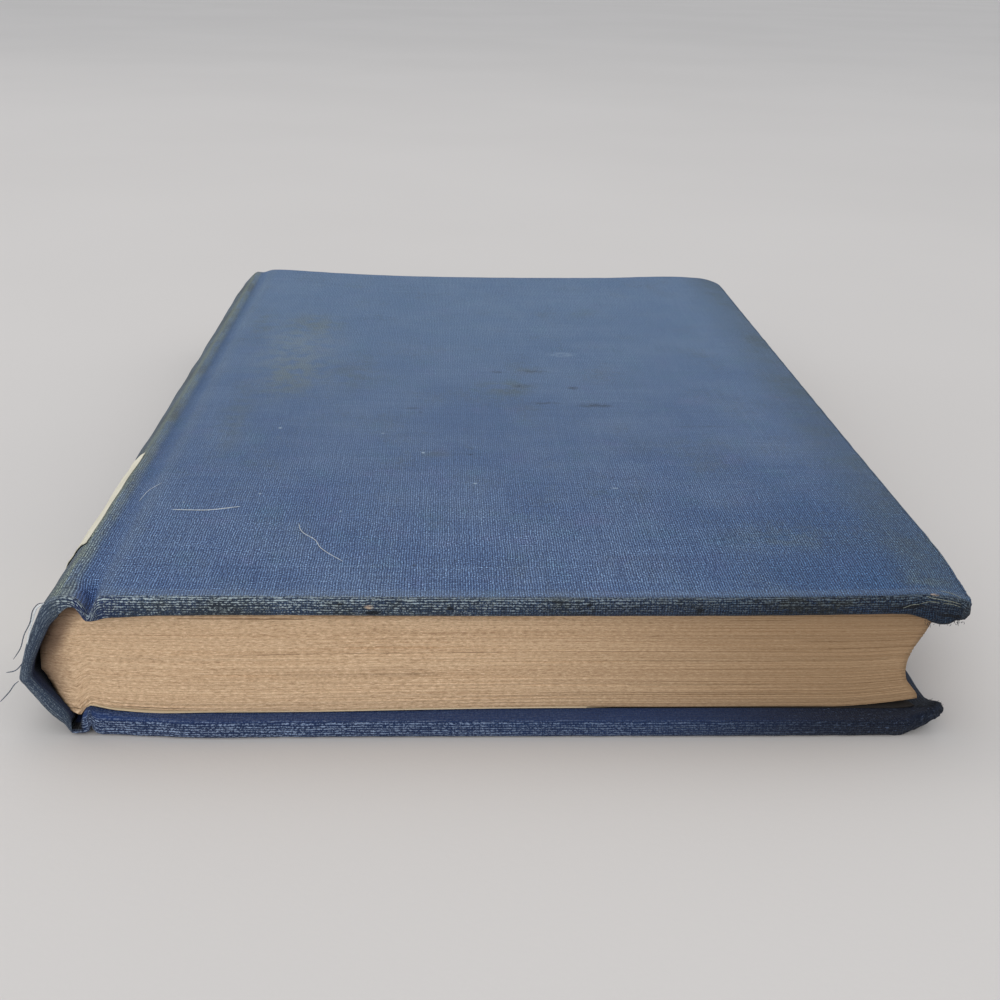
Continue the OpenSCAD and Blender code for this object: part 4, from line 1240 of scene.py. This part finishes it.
def label_look(tree, at):
    x, y, _ = parts_of(tree, at)
    mottle = noise_of(tree, at, 0.12, 4.0, 0.6)
    fibres = noise_of(tree, at, 4.0, 3.0, 0.6)
    colour = tint(tree, span(tree, mottle, 0.3, 0.7), srgb(206, 201, 182), srgb(222, 217, 200))
    colour = tint(tree, math_of(tree, "MULTIPLY", span(tree, fibres, 0.4, 0.7), 0.2), colour, srgb(188, 178, 150))
    foxing = span(tree, noise_of(tree, at, 0.5, 3.0, 0.6), 0.66, 0.76)
    colour = tint(tree, math_of(tree, "MULTIPLY", foxing, 0.5), colour, srgb(160, 130, 92))
    return {"colour": colour, "height": fibres}


label.data.materials.clear()
label.data.materials.append(finish_of("rubbed_label_paper", "paper_at", label_look, 0.85, 0.04, specular=0.2))
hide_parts("spine_label")
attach(label, "book_block")

# Loose threads
# The cloth has frayed where it folds over the tail of the spine and at the lower near
# corner, and a few hairs of lint lie on the front cover.


def strands(name, paths, width, body, look, sides=5):
    """Fine round threads through points, tapering to their ends."""
    patches = []
    for points in paths:
        points = np.asarray(points, float)
        far = np.concatenate([[0], np.cumsum(np.linalg.norm(np.diff(points, axis=0), axis=1))])
        s = np.linspace(0, far[-1], max(7, int(far[-1] / 0.3)))
        line = np.stack([through(s, far, points[:, k]) for k in range(3)], -1)
        run = np.gradient(line, axis=0)
        run /= np.linalg.norm(run, axis=1)[:, None]
        side = np.cross(run, [0.05, 0.3, 1.0])
        side /= np.linalg.norm(side, axis=1)[:, None]
        up = np.cross(side, run)
        thin = width / 2 * (1 - 0.6 * np.abs(np.linspace(-1, 1, len(s))) ** 6)
        rows = np.stack([line + (side * math.cos(a) + up * math.sin(a)) * thin[:, None]
                         for a in np.linspace(0, 2 * np.pi, sides + 1)], 0)
        patches.append((rows, rows.copy()))
    piece = built(name, patches, "strand_at")
    piece.data.materials.append(look)
    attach(piece, body)
    return piece


def wisps(seed, count, low, high, lean, length):
    """Short loose fibres that start inside a box and lean one way."""
    r = np.random.default_rng(seed)
    paths = []
    for _ in range(count):
        root = r.uniform(low, high)
        way = np.asarray(lean) + r.normal(0, 0.7, 3)
        way *= r.uniform(*length) / np.linalg.norm(way)
        curl = r.normal(0, 0.18, 3) * np.linalg.norm(way)
        paths.append([root, root + way * 0.5 + curl, root + way])
    return paths


def thread_look(light, dark):
    def look(tree, at):
        twist = noise_of(tree, at, 6.0, 2.0)
        return {"colour": tint(tree, span(tree, twist, 0.35, 0.65), srgb(*dark), srgb(*light)), "height": twist}
    return look


blue_thread = finish_of("frayed_blue_thread", "strand_at", thread_look((104, 112, 122), (58, 68, 84)), 0.8, 0.03)
pale_hair = finish_of("pale_lint", "strand_at", thread_look((214, 218, 220), (176, 182, 188)), 0.6, 0.02)

# Camera, light and table
# The camera stands where it stood for the photograph, a little above the book and over
# its tail. The light is soft and comes from overhead, and the table is plain and pale.
LENS_PIXELS, FRAME_PIXELS = 1294.0, 1000.0
CAMERA_AT = np.array([47.075, -157.274, 103.685])
PITCH, YAW, ROLL = (math.radians(a) for a in (23.033, 2.735, -1.486))


def view_axes():
    """Right, down and forward of the camera in the book's frame."""
    forward = np.array([math.sin(YAW) * math.cos(PITCH), math.cos(YAW) * math.cos(PITCH), -math.sin(PITCH)])
    level_right = np.array([math.cos(YAW), -math.sin(YAW), 0.0])
    level_down = np.cross(forward, level_right)
    right = math.cos(ROLL) * level_right + math.sin(ROLL) * level_down
    down = -math.sin(ROLL) * level_right + math.cos(ROLL) * level_down
    return right, down, forward


right, down, forward = view_axes()
camera = bpy.data.objects.new("photo_camera", bpy.data.cameras.new("photo_camera"))
bpy.context.scene.collection.objects.link(camera)
camera.data.sensor_width = 36.0
camera.data.lens = 36.0 * LENS_PIXELS / FRAME_PIXELS
camera.data.clip_start, camera.data.clip_end = 0.01, 50.0
turn = Matrix((right, -down, -forward)).transposed()
camera.matrix_world = Matrix.Translation(Vector(row_points(CAMERA_AT))) @ turn.to_4x4()
bpy.context.scene.camera = camera

table_mesh = bpy.data.meshes.new("pale_table")
table_mesh.from_pydata([(-6, -6, 0), (6, -6, 0), (6, 6, 0), (-6, 6, 0)], [], [(0, 1, 2, 3)])
table = bpy.data.objects.new("pale_table", table_mesh)
bpy.context.scene.collection.objects.link(table)


def table_look(tree, at):
    tone = noise_of(tree, at, 0.004, 3.0)
    grain = noise_of(tree, at, 1.2, 3.0)
    return {"colour": tint(tree, span(tree, tone, 0.3, 0.7), srgb(203, 199, 196), srgb(206, 202, 199)), "height": grain}


table.data.materials.append(plain_finish("pale_table_top", table_look, 0.9, 0.02))
table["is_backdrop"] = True

world = bpy.data.worlds.new("soft_room")
bpy.context.scene.world = world
world.use_nodes = True
sky = world.node_tree.nodes["Background"]
sky.inputs["Color"].default_value = (0.93, 0.96, 1.0, 1.0)
sky.inputs["Strength"].default_value = 0.80


def soft_lamp(name, where, aim, size, watts, colour):
    lamp = bpy.data.lights.new(name, "AREA")
    lamp.shape, lamp.size, lamp.energy, lamp.color = "SQUARE", size, watts, colour
    holder = bpy.data.objects.new(name, lamp)
    bpy.context.scene.collection.objects.link(holder)
    holder.location = where
    holder.rotation_mode = "QUATERNION"
    holder.rotation_quaternion = (Vector(aim) - Vector(where)).to_track_quat("-Z", "Y")


soft_lamp("overhead", (-0.25, 0.25, 1.1), (0, 0, 0), 1.0, 2.6, (1.0, 0.98, 0.95))
soft_lamp("from_the_front", (-0.35, -1.0, 0.55), (0, 0, 0), 0.8, 4.0, (1.0, 0.98, 0.95))

# Threads that hang from the tail of the spine down to the table, standing clear of the cloth
strands("frayed_thread_long", [[(-6.6, 0.4, 20.95), (-7.48, 0.2, 20.9), (-7.91, 0.0, 20.5), (-8.81, -0.2, 18.1), (-9.6, -0.4, 16.64), (-10.34, -0.6, 14.53), (-11.43, -0.8, 12.89)]], 0.16, "book_block", blue_thread)
strands("frayed_thread_mid", [[(-10.39, 0.2, 12.06), (-10.68, -0.13, 11.7), (-11.5, -0.47, 10.93), (-12.66, -0.8, 10.8)]], 0.16, "book_block", blue_thread)
strands("frayed_thread_low", [[(-11.45, 0.2, 8.88), (-11.86, -0.2, 8.66), (-12.69, -0.6, 7.6), (-13.99, -1.0, 6.24)]], 0.16, "book_block", blue_thread)

# Painted highlight: a pale strand beside the long thread, for the bright line between that thread and the spine's
# cloth.
highlight_strand_finish = finish_of("pale_strand_painted_highlight", "strand_at", thread_look((222, 226, 228), (188, 194, 198)), 0.8, 0.03)
strands("pale_strand_as_highlight", [[(-6.64, 0.1, 21.03), (-7.52, -0.02, 20.56), (-8.27, -0.14, 18.94), (-8.95, -0.26, 16.86), (-9.46, -0.38, 15.06)]], 0.26, "book_block", highlight_strand_finish)

# Bared threads that stand up round the worn spot of the front cover's near corner
drab_thread = finish_of("bared_corner_thread", "strand_at", thread_look((150, 154, 142), (104, 108, 100)), 0.85, 0.03)
strands("bared_corner_threads", [[(115.1, 1.9, 22.3), (116.2, 2.5, 22.35), (117.2, 2.3, 22.3), (118.5, 1.7, 22.2), (119.4, 0.9, 22.0)],
                                 [(114.1, 0.5, 22.5), (115.2, 0.1, 22.35), (116.7, -0.02, 22.1), (118.2, -0.06, 21.8), (119.1, -0.06, 21.5)],
                                 [(113.4, -0.07, 21.6), (114.6, -0.07, 21.9), (116.3, -0.07, 21.7), (117.9, -0.07, 21.5), (119.1, -0.07, 21.1)],
                                 [(111.0, -0.07, 20.9), (112.2, -0.07, 21.4), (113.2, -0.07, 21.5)]], 0.09, "front_cover", drab_thread)
hair_z = OUTER_Z + 0.09
strands("lint_hair_left", [[(4.8, 29.9, hair_z), (7.4, 29.6, hair_z + 0.1), (9.9, 29.8, hair_z), (15.1, 31.3, hair_z)]], 0.14, "front_cover", pale_hair)
strands("lint_hair_right", [[(25.0, 24.9, hair_z), (25.5, 22.6, hair_z), (26.1, 21.1, hair_z + 0.15), (28.0, 19.0, hair_z), (29.0, 16.4, hair_z), (29.9, 15.0, hair_z), (32.7, 11.7, hair_z)]], 0.1, "front_cover", pale_hair)
strands("lint_hair_faint", [[(-1.5, 34.8, OUTER_Z - 0.7), (-0.5, 38.2, OUTER_Z - 0.1), (1.0, 40.8, hair_z)]], 0.07, "front_cover", pale_hair)

black_fibre = finish_of("soiled_fibre", "strand_at", thread_look((56, 62, 72), (14, 16, 22)), 0.9, 0.02)
strands("frayed_lip", wisps(81, 34, (114.5, -0.1, 18.2), (120.0, 0.6, 19.0), (0.1, -0.2, -0.9), (0.25, 0.55)), 0.07,
        "front_cover", black_fibre, 4)
strands("frayed_corner", wisps(82, 60, (116.5, 0.0, 3.2), (119.4, 2.2, 5.0), (0.9, -0.2, 0.2), (0.3, 0.8)), 0.08,
        "back_cover", black_fibre, 4)
bpy.context.scene.view_settings.view_transform = "Standard"
low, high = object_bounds()
